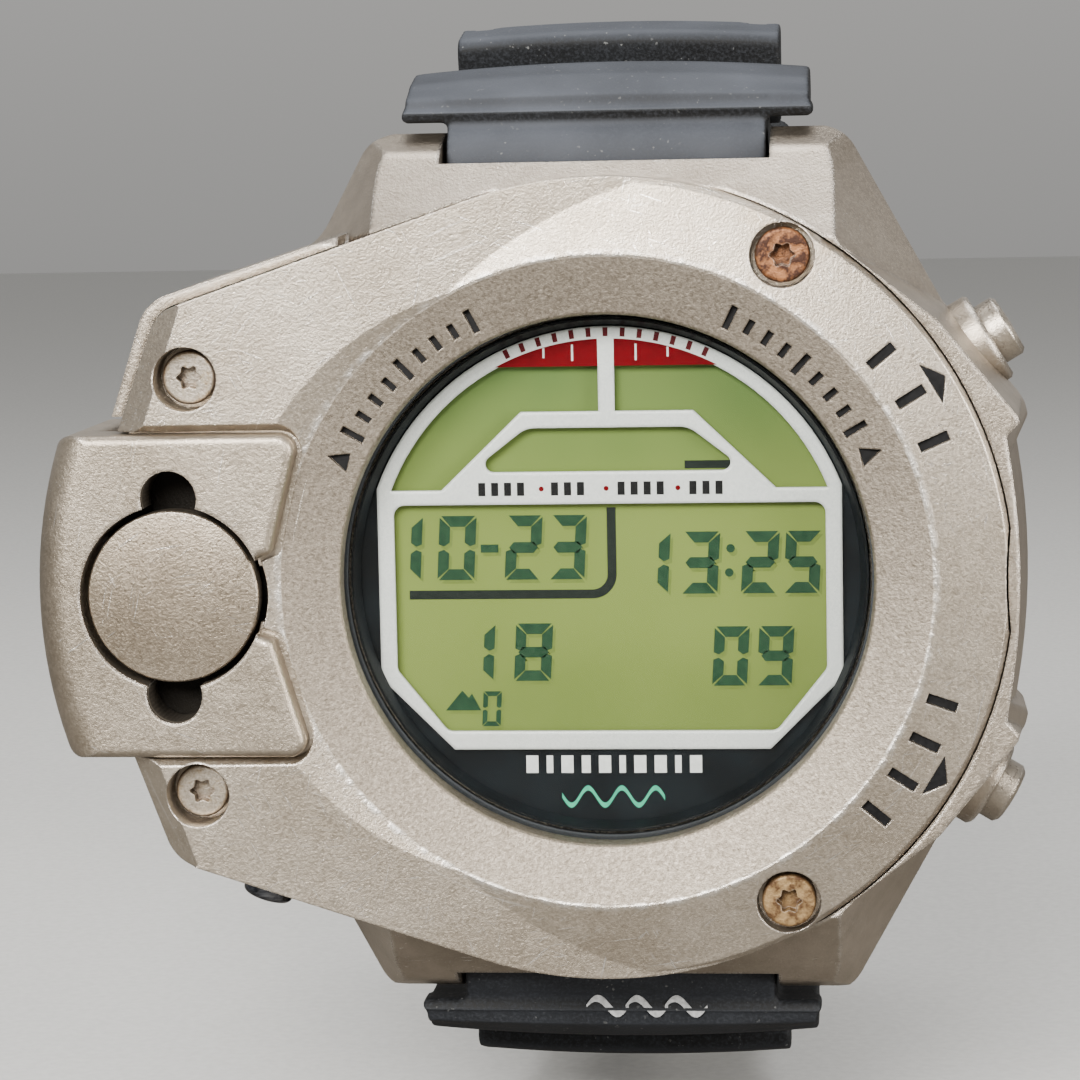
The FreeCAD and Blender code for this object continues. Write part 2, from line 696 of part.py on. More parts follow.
def make_top_cover():
    blank = new_body("cover_blank")
    whole = new_sketch(blank, height="Sizes.cover_seat")
    loop(whole, cover_outline())
    pad(blank, whole, 5.5)
    shaped = doc.addObject("Part::Cut", "cover_shaped")
    shaped.Base, shaped.Tool = blank, space_above_cover()
    doc.recompute()
    body = new_body("top_cover")
    body.BaseFeature = shaped
    doc.recompute()

    ridge, ridge_top = mm("ridge_radius"), mm("ridge_height")
    window, dish = mm("window_radius"), mm("dish_height")
    dish_slope = (ridge_top - dish) / (ridge - window)
    far = 26.0
    bowl = [(0, 5), (window, 5), (window, dish - 0.15), (window + 0.15, dish)]
    groove(body, bowl + [(far, dish + dish_slope * (far - window)), (far, 25), (0, 25)])
    flange_well, well_top = mm("crystal_flange_radius") + 0.2, mm("flange_top") + 0.1
    groove(body, [(10, 5), (flange_well, 5), (flange_well, well_top), (10, well_top)])

    lip_width = 0.45  # of the bevel round the sensor housing's recess
    for side, near_wall in ((1, 8.35), (-1, 8.65)):
        channel = [(-12, 10.02), (near_wall, 10.02, 1.3), (6.5, 2.45, 0.5), (4.0, 1.6), (-12, 1.6)]
        lip = [(-12, 10.47), (near_wall + 0.57, 10.47, 1.75), (6.88, 2.1, 0.9), (4.0, 1.12), (-12, 1.12)]
        recess = new_sketch(body, height="Sizes.housing_top + 2")
        loop(recess, housing_outline(channel if side > 0 else mirrored(channel)))
        pocket(body, recess, "Sizes.housing_top + 2 - Sizes.housing_seat + 0.05")
        across, up = housing_point(0, 0)
        slope = Rotation(Vector(0, 1, 0), WING_SLOPE)
        bevel = new_sketch(body, offset=Placement(Vector(across, up, wing_top(across) + 0.01), slope))
        loop(bevel, lip if side > 0 else mirrored(lip))
        pocket(body, bevel, lip_width, taper="-45")
    bowl_recess = new_sketch(body, height="Sizes.housing_top + 2")
    circle(bowl_recess, "Sizes.housing_hole_radius + 0.08", *housing_point(0, 0))
    pocket(body, bowl_recess, "Sizes.housing_top + 2 - Sizes.housing_seat + 0.05")
    bowl, bowl_top = mm("housing_hole_radius"), wing_top(-19.9)
    cone = [(bowl - 0.6, bowl_top - lip_width), (bowl, bowl_top - lip_width), (bowl + 0.5, bowl_top + 0.02)]
    groove(body, cone + [(bowl + 0.5, 20), (bowl - 0.6, 20)], centre=housing_point(0, 0))
    throat = new_sketch(body, height="Sizes.housing_seat")
    circle(throat, "4.6", *housing_point(0, 0))
    pocket(body, throat, 5)

    wells = new_sketch(body, height="20")
    for x, y in cover_screw_places():
        circle(wells, "Sizes.screw_well_radius", x, y)
    pocket(body, wells, "20 - Sizes.screw_well_floor")
    holes = new_sketch(body, height="20")
    for x, y in cover_screw_places():
        circle(holes, "Sizes.screw_thread_radius + 0.15", x, y)
    pocket(body, holes, 10)
    under_wells = new_sketch(body, height="Sizes.cover_seat")
    for x, y in housing_screw_places():
        circle(under_wells, "1.2", x, y)
    pocket(body, under_wells, 0.65, up=True)
    under_holes = new_sketch(body, height="Sizes.cover_seat")
    for x, y in housing_screw_places():
        circle(under_holes, "0.7", x, y)
    pocket(body, under_holes, 3, up=True)

    dip = new_sketch(body, height="20")
    circle(dip, "Sizes.rim_dip_radius", mm("cover_radius") - mm("rim_dip") + mm("rim_dip_radius"), 0)
    pocket(body, dip, 10)
    engrave_dish(body)
    engrave_rim(body)
    soften_wing(body)
    keep("top_cover", body)


def engrave_dish(body):
    """Two graduated scales on the dish, each ending in an arrow that points at the display."""
    floor = mm("dish_height") - 0.02
    for side in (1, -1):
        marks = new_sketch(body, offset=Placement(Vector(0, 0, floor), Rotation()))
        for step in range(9):
            from_top = 26.0 + 4.1 * step
            length = 1.5 if step % 4 == 0 else 0.95
            bar_mark(marks, 17.7, 90 - side * from_top, length, 0.42)
        tip = [(17.3, 27.6), (18.5, 25.4), (17.0, 23.7)]
        arrow_mark(marks, [(r, a if side > 0 else 180 - a) for r, a in tip])
        pocket(body, marks, 5, up=True)


def engrave_rim(body):
    """An arrow and a row of bars beside each pusher: three bars above, four below."""
    floor = mm("cover_rim") + 0.02
    for angles, centre in (((23.0, 31.0, 39.0), 31.0), ((-20.0, -27.0, -34.0, -41.0), -31.0)):
        marks = new_sketch(body, offset=Placement(Vector(0, 0, floor), Rotation()))
        for degrees in angles:
            bar_mark(marks, 21.5, degrees, 1.9, 0.62)
        arrow_mark(marks, [(22.95, centre - 3.4), (22.95, centre + 3.4), (23.95, centre)])
        pocket(body, marks, 5, up=True)


def soften_wing(body):
    """A wide bevel along the wing's two slanting side edges."""
    corner, side = Vector(*WING_CORNER, 0), Vector(*WING_SIDE, 0)
    width, depth = 1.7, 1.5
    for sign in (1, -1):
        along = (side - corner).normalize()
        middle = (side + corner) / 2
        along.y, middle.y = sign * along.y, sign * middle.y
        outwards = Vector(-abs(along.y), -sign * along.x, 0)
        middle.z = wing_top(middle.x)
        up = Vector(0, 0, 1)
        facing = Rotation(outwards, up, outwards.cross(up), "XYZ")
        wedge = new_sketch(body, offset=Placement(middle, facing))
        loop(wedge, [(-width, 0.2), (-width, 0), (0.3, -depth), (1, -depth), (1, 0.2)])
        pocket(body, wedge, 13.0, both_ways=True)


# ------------------------------------------------------------------------------- window and electronics


def make_window():
    radius, flange = mm("crystal_radius"), mm("crystal_flange_radius")
    low, middle, top = mm("flange_bottom"), mm("flange_top"), mm("crystal_top")
    edge = 0.35
    corners = [(0, low), (flange, low), (flange, middle), (radius, middle)]
    corners += [(radius, top - edge), (radius - edge, top)]
    turned_piece("crystal", corners + [(0, top)])
    outer, inner = "Sizes.crystal_flange_radius + 0.2", "Sizes.cavity_radius + 0.1"
    gasket = ring("crystal_gasket", outer, inner, "0.55", "11.95")
    keep("crystal_gasket", gasket)
    outer = mm("dial_outer_radius")
    low = mm("mask_bottom") + mm("mask_thickness") + 0.05
    turned_piece("window_ring", [(15.4, low), (outer, low), (outer, 12.5), (15.75, 12.5)])


def mask_outline():
    """The bright frame's outer shape: round at the top, straight at the sides and bottom."""
    radius, side = 15.3, 14.3
    shoulder = math.sqrt(radius**2 - side**2)
    lower = [(side, -6.4, 0.8), (9.8, -10.9, 0.8)]
    return radius, side, shoulder, lower


def mask_windows():
    """The openings in the bright frame, as outlines."""
    side, top, low = 13.3, 4.4, -9.75
    below = [(side, -5.9, 0.7), (10.2, low, 0.7)]
    big = [(-side, top, 0.7)] + [(-x, y, r) for x, y, r in below] + below[::-1] + [(side, top, 0.7)]
    middle = [(-8.5, 6.4, 0.5), (8.5, 6.4, 0.5), (5.0, 9.1, 1.6), (-5.0, 9.1, 1.6)]
    return big, middle


def arc_window(sketch, side):
    """One of the two curved bar-graph windows beside the middle window."""
    radius, top, low = 14.45, 12.87, 5.3
    edge_top = math.sqrt(radius**2 - top**2)
    edge_low = math.sqrt(radius**2 - low**2)
    half_angle = (math.atan2(top, edge_top) + math.atan2(low, edge_low)) / 2
    half_way = polar(radius, math.degrees(half_angle))
    path = [(0.5, top), (edge_top, top), (edge_low, low), (10.3, low), (5.3, 10.1), (0.5, 10.1)]
    points = [Vector(side * x, y, 0) for x, y in path]
    sketch.addGeometry(Part.Arc(points[1], Vector(side * half_way[0], half_way[1], 0), points[2]))
    for start, end in ((0, 1), (2, 3), (3, 4), (4, 5), (5, 0)):
        sketch.addGeometry(Part.LineSegment(points[start], points[end]))


def make_display():
    plate = disc("dial_plate", "Sizes.dial_outer_radius", "Sizes.dial_thickness", "Sizes.dial_bottom")
    opening = new_sketch(plate, height="Sizes.mask_bottom")
    below = [(-13.6, -6.0, 0.8), (-10.2, -10.2, 0.8), (10.2, -10.2, 0.8), (13.6, -6.0, 0.8)]
    loop(opening, below + [polar(14.9, angle) for angle in range(24, 157, 12)])
    pocket(plate, opening, 2)
    keep("dial_plate", plate)

    mask = new_body("display_mask")
    radius, side, shoulder, lower = mask_outline()
    face = new_sketch(mask, height="Sizes.mask_bottom")
    corners = [Vector(side, shoulder, 0), Vector(-side, shoulder, 0)]
    face.addGeometry(Part.Arc(corners[0], Vector(0, radius, 0), corners[1]))
    below = [(-side, shoulder), (-side, -6.4), (-9.8, -10.9), (9.8, -10.9), (side, -6.4), (side, shoulder)]
    for start, end in zip(below, below[1:]):
        face.addGeometry(Part.LineSegment(Vector(*start, 0), Vector(*end, 0)))
    pad(mask, face, "Sizes.mask_thickness")
    for outline in mask_windows():
        cut = new_sketch(mask, height="Sizes.mask_bottom + 1")
        loop(cut, outline)
        pocket(mask, cut, 3)
    for side in (1, -1):
        cut = new_sketch(mask, height="Sizes.mask_bottom + 1")
        arc_window(cut, side)
        pocket(mask, cut, 3)
    keep("display_mask", mask)

    lcd = disc("lcd_panel", "Sizes.lcd_radius", "Sizes.lcd_thickness", "Sizes.lcd_bottom")
    trim = new_sketch(lcd, height="Sizes.mask_bottom")
    loop(trim, [(-20, -20), (20, -20), (20, -10.8), (-20, -10.8)])
    loop(trim, [(13.7, -10.7), (20, -10.7), (20, 16), (13.7, 16)])
    loop(trim, [(-13.7, -10.7), (-20, -10.7), (-20, 16), (-13.7, 16)])
    pocket(lcd, trim, 3)
    keep("lcd_panel", lcd)

    reflector = new_body("backlight_panel")
    sheet_face = new_sketch(reflector, height="Sizes.reflector_bottom")
    below = [(-12.4, -8.8, 1), (12.4, -8.8, 1)]
    loop(sheet_face, below + [(12.4, 8.4, 1), (9.6, 10.4, 1), (-9.6, 10.4, 1), (-12.4, 8.4, 1)])
    pad(reflector, sheet_face, "Sizes.reflector_thickness")
    keep("backlight_panel", reflector)
    low, high = mm("board_bottom") + mm("board_thickness") + 0.02, mm("lcd_bottom") - 0.02
    strips = [block("zebra_low", (-11, -10.5, low), (11, -9.1, high))]
    strips.append(block("zebra_high", (-8, 10.8, low), (8, 12.2, high)))
    group("zebra_connectors", strips)


def make_module():
    frame_height = "Sizes.frame_top - Sizes.frame_bottom"
    frame = ring("module_frame", "Sizes.frame_outer_radius", "Sizes.frame_inner_radius", frame_height,
                 "Sizes.frame_bottom")
    notch = new_sketch(frame, height="Sizes.frame_top")
    for sign in (1, -1):
        bar_mark(notch, 16.0, sign * mm("pusher_angle"), 4.6, 5.0)
    pocket(frame, notch, 4.0)
    leads = new_sketch(frame, height="Sizes.frame_top")
    bar_mark(leads, 15.5, 180 + 1.7, 3.0, 3.0)
    pocket(frame, leads, 4.0)
    contact = new_sketch(frame, height="Sizes.frame_top")
    bar_mark(contact, 15.2, 198, 2.4, 3.0)
    pocket(frame, contact, 4.0)
    keep("module_frame", frame)

    board = disc("circuit_board", "Sizes.frame_outer_radius - 0.1", "Sizes.board_thickness",
                 "Sizes.board_bottom")
    flats = new_sketch(board, height="Sizes.lcd_bottom")
    loop(flats, [(-20, 14.6), (20, 14.6), (20, 20), (-20, 20)])
    loop(flats, [(-20, -14.6), (20, -14.6), (20, -20), (-20, -20)])
    pocket(board, flats, 3)
    keep("circuit_board", board)
    top = mm("board_bottom") - 0.02
    chips = [
        block("processor", (-3.5, -3.5, top - 1.1), (3.5, 3.5, top)),
        block("memory", (5.5, -2.0, top - 0.9), (9.5, 2.0, top)),
        block("crystal_can", (-8.5, 5.5, top - 1.3), (-2.5, 7.3, top)),
        block("regulator", (-9.5, -3.0, top - 0.9), (-6.5, 0.0, top)),
    ]
    for number, x in enumerate((-6.0, -3.6, 2.4, 4.8)):
        chips.append(block(f"capacitor_{number}", (x, -8.2, top - 0.6), (x + 1.4, -7.4, top)))
    group("circuit_chips", chips)

    radius, low = mm("battery_radius"), mm("battery_bottom")
    high = low + mm("battery_thickness")
    corners = [(0, low), (10.6, low), (10.9, low + 0.35), (radius, low + 0.35, 0.1)]
    corners += [(radius, high, 0.3), (0, high)]
    turned_piece("battery", corners)
    clip = new_body("battery_clip")
    strip = new_sketch(clip, height="2.8")
    loop(strip, [(-12.3, -2.2, 0.8), (12.3, -2.2, 0.8), (12.3, 2.2, 0.8), (-12.3, 2.2, 0.8)])
    pad(clip, strip, 0.25)
    window = new_sketch(clip, height="3.2")
    loop(window, [(-7, -0.9, 0.5), (7, -0.9, 0.5), (7, 0.9, 0.5), (-7, 0.9, 0.5)])
    pocket(clip, window, 1)
    keep("battery_clip", clip)
    corners = [(0, 1.75), (8.4, 1.75), (8.4, 1.95), (5.8, 1.95), (5.8, 2.2), (0, 2.2)]
    turned_piece("piezo_buzzer", corners)


# -------------------------------------------------------------------------------------- pressure sensor


def make_sensor_housing():
    body = new_body("sensor_housing")
    plate = new_sketch(body, height="Sizes.housing_seat")
    half = mm("housing_half")
    far_side = [(-6.95, -half, 1.4), (-9.85, 0, mm("housing_far_radius")), (-6.95, half, 1.4)]
    neck = [(6.1, 2.6, 0.5), (5.2, 2.3), (5.2, -2.3), (6.1, -2.6, 0.5)]
    corners = [(8.0, half, 1.0)] + neck + [(8.3, -half, 1.0)]
    loop(plate, housing_outline(corners + far_side))
    pad(body, plate, "Sizes.housing_top - Sizes.housing_seat")
    skirt = new_sketch(body, height="Sizes.housing_bottom")
    edge = -4.7
    corners = [(edge, half, 0.5), (edge, -half, 0.5)] + far_side
    loop(skirt, housing_outline(corners))
    pad(body, skirt, "Sizes.housing_seat - Sizes.housing_bottom")
    opening = new_sketch(body, height="Sizes.housing_top + 1")
    circle(opening, "Sizes.housing_hole_radius", *housing_point(0, 0))
    pocket(body, opening, "Sizes.housing_top + 1 - Sizes.housing_seat")
    for side in (1, -1):
        vent = new_sketch(body, height="Sizes.housing_top + 1")
        circle(vent, "Sizes.vent_radius", *housing_point(0, side * mm("vent_reach")))
        pocket(body, vent, "Sizes.housing_top + 1 - Sizes.housing_seat")
    threads = new_sketch(body, height="Sizes.housing_seat")
    for x, y in housing_screw_places():
        circle(threads, "0.62", x, y)
    pocket(body, threads, 2.2, up=True)
    round_housing(body)
    keep("sensor_housing", body)


def round_housing(body):
    """Rounds the outer top edges: a little where the plate lies in the cover, much more on its far side."""
    top = mm("housing_top")
    near = []
    for number, edge in enumerate(body.Shape.Edges, start=1):
        middle = edge.CenterOfMass
        on_top = abs(edge.BoundBox.ZMin - top) < 1e-4 and abs(edge.BoundBox.ZMax - top) < 1e-4
        from_sensor = math.hypot(middle.x + mm("sensor_x"), middle.y + mm("sensor_drop"))
        inside = from_sensor < mm("vent_reach") + 1.5
        if on_top and not inside and middle.x > -mm("sensor_x") - 5:
            near.append(f"Edge{number}")
    shape = body.Tip
    rounding = body.newObject("PartDesign::Fillet", "near_rounding")
    rounding.Base = (shape, near)
    rounding.setExpression("Radius", "Sizes.housing_near_round")
    doc.recompute()

    far = mm("housing_far_radius")
    beyond, below = far + 3, top - 3
    shoulder = [(far - 3, top + 1), (far - 3, top), (far, top, mm("housing_far_round")), (far, below)]
    groove(body, shoulder + [(beyond, below), (beyond, top + 1)], centre=(-4.78, -mm("sensor_drop")))


def make_sensor():
    place = STAND.multiply(Placement(Vector(*housing_point(0, 0), 0), Rotation()))
    radius, low, top = mm("cap_radius"), mm("cap_bottom"), mm("cap_top")
    corners = [(0, 9.4), (0.95, 9.4), (0.95, 12.6), (1.6, 12.6), (1.6, low)]
    corners += [(radius, low), (radius, top - 0.3)]
    corners += [(radius - 0.1, top - 0.2), (radius / 2, top, 55.0), (0, top)]
    turned_piece("sensor_cap", corners, place)

    body_radius, neck = mm("sensor_bore_radius") - 0.1, mm("sensor_bore_radius") - 0.8
    corners = [(0, 4.2), (body_radius, 4.2), (body_radius, 5.9), (neck, 5.9), (neck, 7.0), (body_radius, 7.0)]
    corners += [(body_radius, 8.0), (2.4, 8.0), (2.4, 7.7), (0, 7.7)]
    turned_piece("pressure_sensor", corners, place)
    seal = doc.addObject("Part::Torus", "sensor_seal")
    seal.setExpression("Radius1", "Sizes.sensor_bore_radius - 0.41")
    seal.Radius2 = 0.37
    keep("sensor_seal", seal, place.multiply(Placement(Vector(0, 0, 6.45), Rotation())))

    retainer = new_body("sensor_retainer")
    outer = mm("sensor_bore_radius") - 0.03
    turn(retainer, [(1.0, 8.1), (outer, 8.1), (outer, 12.2), (2.5, 12.2), (2.5, 9.6), (1.0, 9.6)])
    ports = new_sketch(retainer, height="11")
    for degrees in (90, 210, 330):
        circle(ports, "0.45", *polar(1.8, degrees))
    pocket(retainer, ports, 5)
    keep("sensor_retainer", retainer, place)

    across = Rotation(Vector(0, 1, 0), 90)
    drop = mm("sensor_drop")
    leads = []
    for number, apart in enumerate((-0.45, 0, 0.45)):
        start = Placement(Vector(-22.7, -drop + apart, 5.3), across)
        leads.append(rod(f"lead_{number}", 0.18, 6.4, start))
    group("sensor_leads", leads)


def make_water_contact():
    place = STAND.multiply(contact_frame())
    pin = [(0, -4.6), (0.6, -4.6), (0.6, -2.8), (1.1, -2.8), (1.1, 0.2), (1.6, 0.2)]
    pin += [(1.6, 2.1, 0.3), (0, 2.1)]
    turned_piece("water_contact", pin, place)
    turned_piece("contact_insulator", [(1.12, -3.15), (2.15, -3.15), (2.15, -0.1), (1.12, -0.1)], place)


# ---------------------------------------------------------------------------------------------- pushers


def make_pusher(name, sign):
    place = STAND.multiply(radial_frame(sign * mm("pusher_angle"), mm("pusher_height")))
    inner, outer = mm("collar_inner"), mm("collar_outer")
    radius, bore = mm("collar_radius") - 0.02, mm("collar_bore_radius")
    hole = mm("stem_hole_radius")
    floor = inner + 0.6
    corners = [(hole, inner), (radius, inner), (radius, outer - 0.2), (radius - 0.2, outer)]
    corners += [(bore, outer), (bore, floor), (hole, floor)]
    turned_piece(f"{name}_button_collar", corners, place)

    stem, end, head = mm("stem_radius"), mm("stem_end"), mm("button_radius")
    corners = [(0, end), (stem, end), (stem, 15.35), (0.55, 15.35), (0.55, 15.7), (stem, 15.7)]
    for groove_start in (18.2, 20.6):
        groove_end = groove_start + 0.8
        corners += [(stem, groove_start), (0.6, groove_start), (0.6, groove_end), (stem, groove_end)]
    low, top = mm("button_inner"), mm("button_outer")
    corners += [(stem, low), (head, low), (head, top - 0.25), (head - 0.25, top), (0, top + 0.1)]
    turned_piece(f"{name}_button", corners, place)

    seals = []
    for number, middle in enumerate((18.6, 21.0)):
        seal = doc.addObject("Part::Torus", f"{name}_seal_{number}")
        seal.Radius1, seal.Radius2 = 0.765, 0.155
        seal.Placement = Placement(Vector(0, 0, middle), Rotation())
        seals.append(seal)
    group(f"{name}_button_seals", seals, place)

    clip = new_body(f"{name}_button_clip")
    turn(clip, [(0.57, 15.4), (1.45, 15.4), (1.45, 15.65), (0.57, 15.65)])
    mouth = new_sketch(clip, offset=Placement(Vector(0, 0, 16), Rotation()))
    loop(mouth, [(-0.5, 0), (0.5, 0), (0.5, 3), (-0.5, 3)])
    pocket(clip, mouth, 1)
    keep(f"{name}_button_clip", clip, place)

    lift = Placement(Vector(0, 0, floor + 0.18), Rotation(Vector(0, 0, 1), 40))
    coil(f"{name}_button_spring", 1.5, 0.16, 0.52, 1.56, place.multiply(lift))


# ------------------------------------------------------------------------------------------ spring bars


def make_spring_bar(name, side):
    middle = Placement(Vector(0, side * mm("bar_reach"), mm("bar_height")), Rotation(Vector(0, 1, 0), 90))
    place = STAND.multiply(middle)
    tube, bore, half = mm("bar_tube_radius"), mm("bar_tube_bore"), mm("bar_tube_half")
    tip, end = mm("bar_tip_radius"), mm("bar_tip_end")
    lip = 0.4
    mouth = tip + 0.03
    corners = [(bore, lip - half), (mouth, lip - half), (mouth, -half), (tube, -half)]
    corners += [(tube, half), (mouth, half), (mouth, half - lip), (bore, half - lip)]
    turned_piece(f"{name}_spring_bar", corners, place)

    plunger = bore - 0.04
    corners = [(0, 6.5), (plunger, 6.5), (plunger, 7.7), (tip, 7.7)]
    corners += [(tip, end - 0.2), (tip - 0.2, end), (0, end)]
    turned_piece(f"{name}_bar_right_tip", corners, place)
    other_end = Placement(Vector(), Rotation(Vector(1, 0, 0), 180))
    turned_piece(f"{name}_bar_left_tip", corners, place.multiply(other_end))
    start = Placement(Vector(0, 0, -6.3), Rotation())
    coil(f"{name}_bar_spring", 0.5, 0.12, 0.9, 12.6, place.multiply(start))


# ------------------------------------------------------------------------------------------------ strap


class StrapPath:
    """The strap's middle line in the (y, z) plane: arcs that follow on from each other at the bar."""

    def __init__(self, side, start_angle, arcs):
        self.side = side
        self.start_angle = start_angle
        self.arcs = arcs

    def at(self, distance, rise=0.0):
        """The point at a distance along the strap and a rise out of it, as (y, z, heading)."""
        heading = self.start_angle
        y, z = mm("bar_reach"), mm("bar_height")
        left = distance
        for radius, length in self.arcs:
            step = min(left, length) if (radius, length) != self.arcs[-1] else left
            turned = heading + math.degrees(step / radius)
            y += radius * (math.sin(math.radians(turned)) - math.sin(math.radians(heading)))
            z -= radius * (math.cos(math.radians(heading)) - math.cos(math.radians(turned)))
            heading = turned
            left -= step
        y += rise * math.sin(math.radians(heading))
        z += rise * math.cos(math.radians(heading))
        return self.side * y, z, heading

    def centre(self, number):
        """The centre of the numbered arc, as (y, z)."""
        start = sum(length for _, length in self.arcs[:number])
        y, z, _ = self.at(start, rise=-self.arcs[number][0])
        return y, z

    def frame(self, distance, rise=0.0):
        """A frame there: y axis along the strap away from the case, z axis out of its outer face."""
        y, z, heading = self.at(distance, rise)
        turn_back = Rotation(Vector(1, 0, 0), -heading if self.side > 0 else heading)
        return Placement(Vector(0, y, z), turn_back)


def patch(path, low, high, inner, outer, corner=0.0):
    """A four-cornered outline between two distances and two rises."""
    places = ((low, inner), (high, inner), (high, outer), (low, outer))
    points = [path.at(distance, rise)[:2] for distance, rise in places]
    return [(*point, corner) if corner else point for point in points]


def band_strip(sketch, path, low, high, half):
    """A strip of the band between two distances on one arc."""
    middle = (low + high) / 2
    points = {(d, r): Vector(*path.at(d, r)[:2], 0) for d in (low, middle, high) for r in (-half, half)}
    for rise in (-half, half):
        sketch.addGeometry(Part.Arc(points[low, rise], points[middle, rise], points[high, rise]))
    for distance in (low, high):
        sketch.addGeometry(Part.LineSegment(points[distance, -half], points[distance, half]))


def strap_body(label, path, spans):
    """The roll round the spring bar, the shoulder, the ribs and the band, each at its own width."""
    body = new_body(label)
    roll = new_sketch(body, "YZ_Plane")
    circle(roll, "Sizes.strap_roll_radius", path.side * mm("bar_reach"), mm("bar_height"))
    pad(body, roll, "Sizes.strap_end_width", both_ways=True)
    neck = new_sketch(body, "YZ_Plane")
    loop(neck, patch(path, 0, NECK_LENGTH, -2.4, 2.6))
    pad(body, neck, "Sizes.strap_end_width", both_ways=True)
    wall = new_sketch(body, "YZ_Plane")
    loop(wall, [(path.side * y, z) for y, z in NECK_WALL])
    pad(body, wall, "Sizes.strap_end_width", both_ways=True)
    shoulder = new_sketch(body, "YZ_Plane")
    loop(shoulder, [(path.side * c[0], *c[1:]) for c in SHOULDER])
    pad(body, shoulder, "Sizes.shoulder_width", both_ways=True)
    for number, start in enumerate(RIB_STARTS):
        rib = new_sketch(body, "YZ_Plane")
        smaller = RIB_STEP * number
        loop(rib, patch(path, start, start + RIB_LENGTH, -2.3, RIB_RISE - smaller, 0.9))
        pad(body, rib, f"Sizes.rib_width - {smaller}", both_ways=True)
    for low, high in spans:
        band = new_sketch(body, "YZ_Plane")
        band_strip(band, path, low, high, mm("band_thickness") / 2)
        pad(body, band, "Sizes.band_width", both_ways=True)
    bore = new_sketch(body, "YZ_Plane")
    circle(bore, "Sizes.strap_bar_bore", path.side * mm("bar_reach"), mm("bar_height"))
    pocket(body, bore, THROUGH, both_ways=True)
    for start in (NECK_LENGTH + 0.6, *(start + RIB_LENGTH for start in RIB_STARTS)):
        dimples = new_sketch(body, offset=path.frame(start, rise=5.0))
        for x in (-9.0, 9.0):
            circle(dimples, "1.15", x, 0)
        pocket(body, dimples, 2.6)
    return body


def make_upper_strap(path):
    length = mm("upper_length")
    body = strap_body("upper_strap", path, [(6.0, length)])
    y, z, _ = path.at(length + 2.0)
    roll = new_sketch(body, "YZ_Plane")
    circle(roll, "2.3", y, z)
    pad(body, roll, "Sizes.band_width", both_ways=True)
    bore = new_sketch(body, "YZ_Plane")
    circle(bore, "Sizes.pin_radius + 0.06", y, z)
    pocket(body, bore, THROUGH, both_ways=True)
    slot = new_sketch(body, offset=path.frame(length + 2.0))
    half = mm("tang_slot_width") / 2
    loop(slot, [(-half, -3.6, 1.0), (half, -3.6, 1.0), (half, 6), (-half, 6)])
    pocket(body, slot, 12, both_ways=True)
    keep("upper_strap", body)


def make_lower_strap(path):
    bend, length = mm("lower_bend_length"), mm("lower_length")
    body = strap_body("lower_strap", path, [(6.0, bend), (bend, length)])
    half, end = mm("band_width") / 2, 6.0
    tip = new_sketch(body, offset=path.frame(length))
    direction = -1.0 if path.side > 0 else 1.0
    for side in (1, -1):
        shape = [(half + 1, end), (half, end), (half - 2.0, 2.2), (half - 5.5, 0)]
        shape += [(half - 5.5, -3), (half + 1, -3)]
        loop(tip, [(side * x, direction * y) for x, y in shape])
    pocket(body, tip, 14, both_ways=True)

    radius = mm("strap_long_bend")
    first = length - 12.0 - mm("hole_pitch") * (mm("hole_count") - 1)
    y, z = path.centre(1)
    _, _, heading = path.at(first)
    facing = Rotation(Vector(1, 0, 0), -heading if path.side > 0 else heading)
    hole = new_sketch(body, offset=Placement(Vector(0, y, z), facing))
    circle(hole, "Sizes.hole_radius")
    cut = pocket(body, hole, radius + 5, up=True)
    row = body.newObject("PartDesign::PolarPattern", "hole_row")
    row.Originals = [cut]
    row.Axis = (hole, ["H_Axis"])
    row.Mode = "Spacing"
    row.setExpression("Offset", "Sizes.hole_pitch / Sizes.strap_long_bend * 180 / pi")
    row.setExpression("Occurrences", "Sizes.hole_count")
    row.Reversed = path.side > 0
    body.Tip = row
    doc.recompute()
    keep("lower_strap", body)


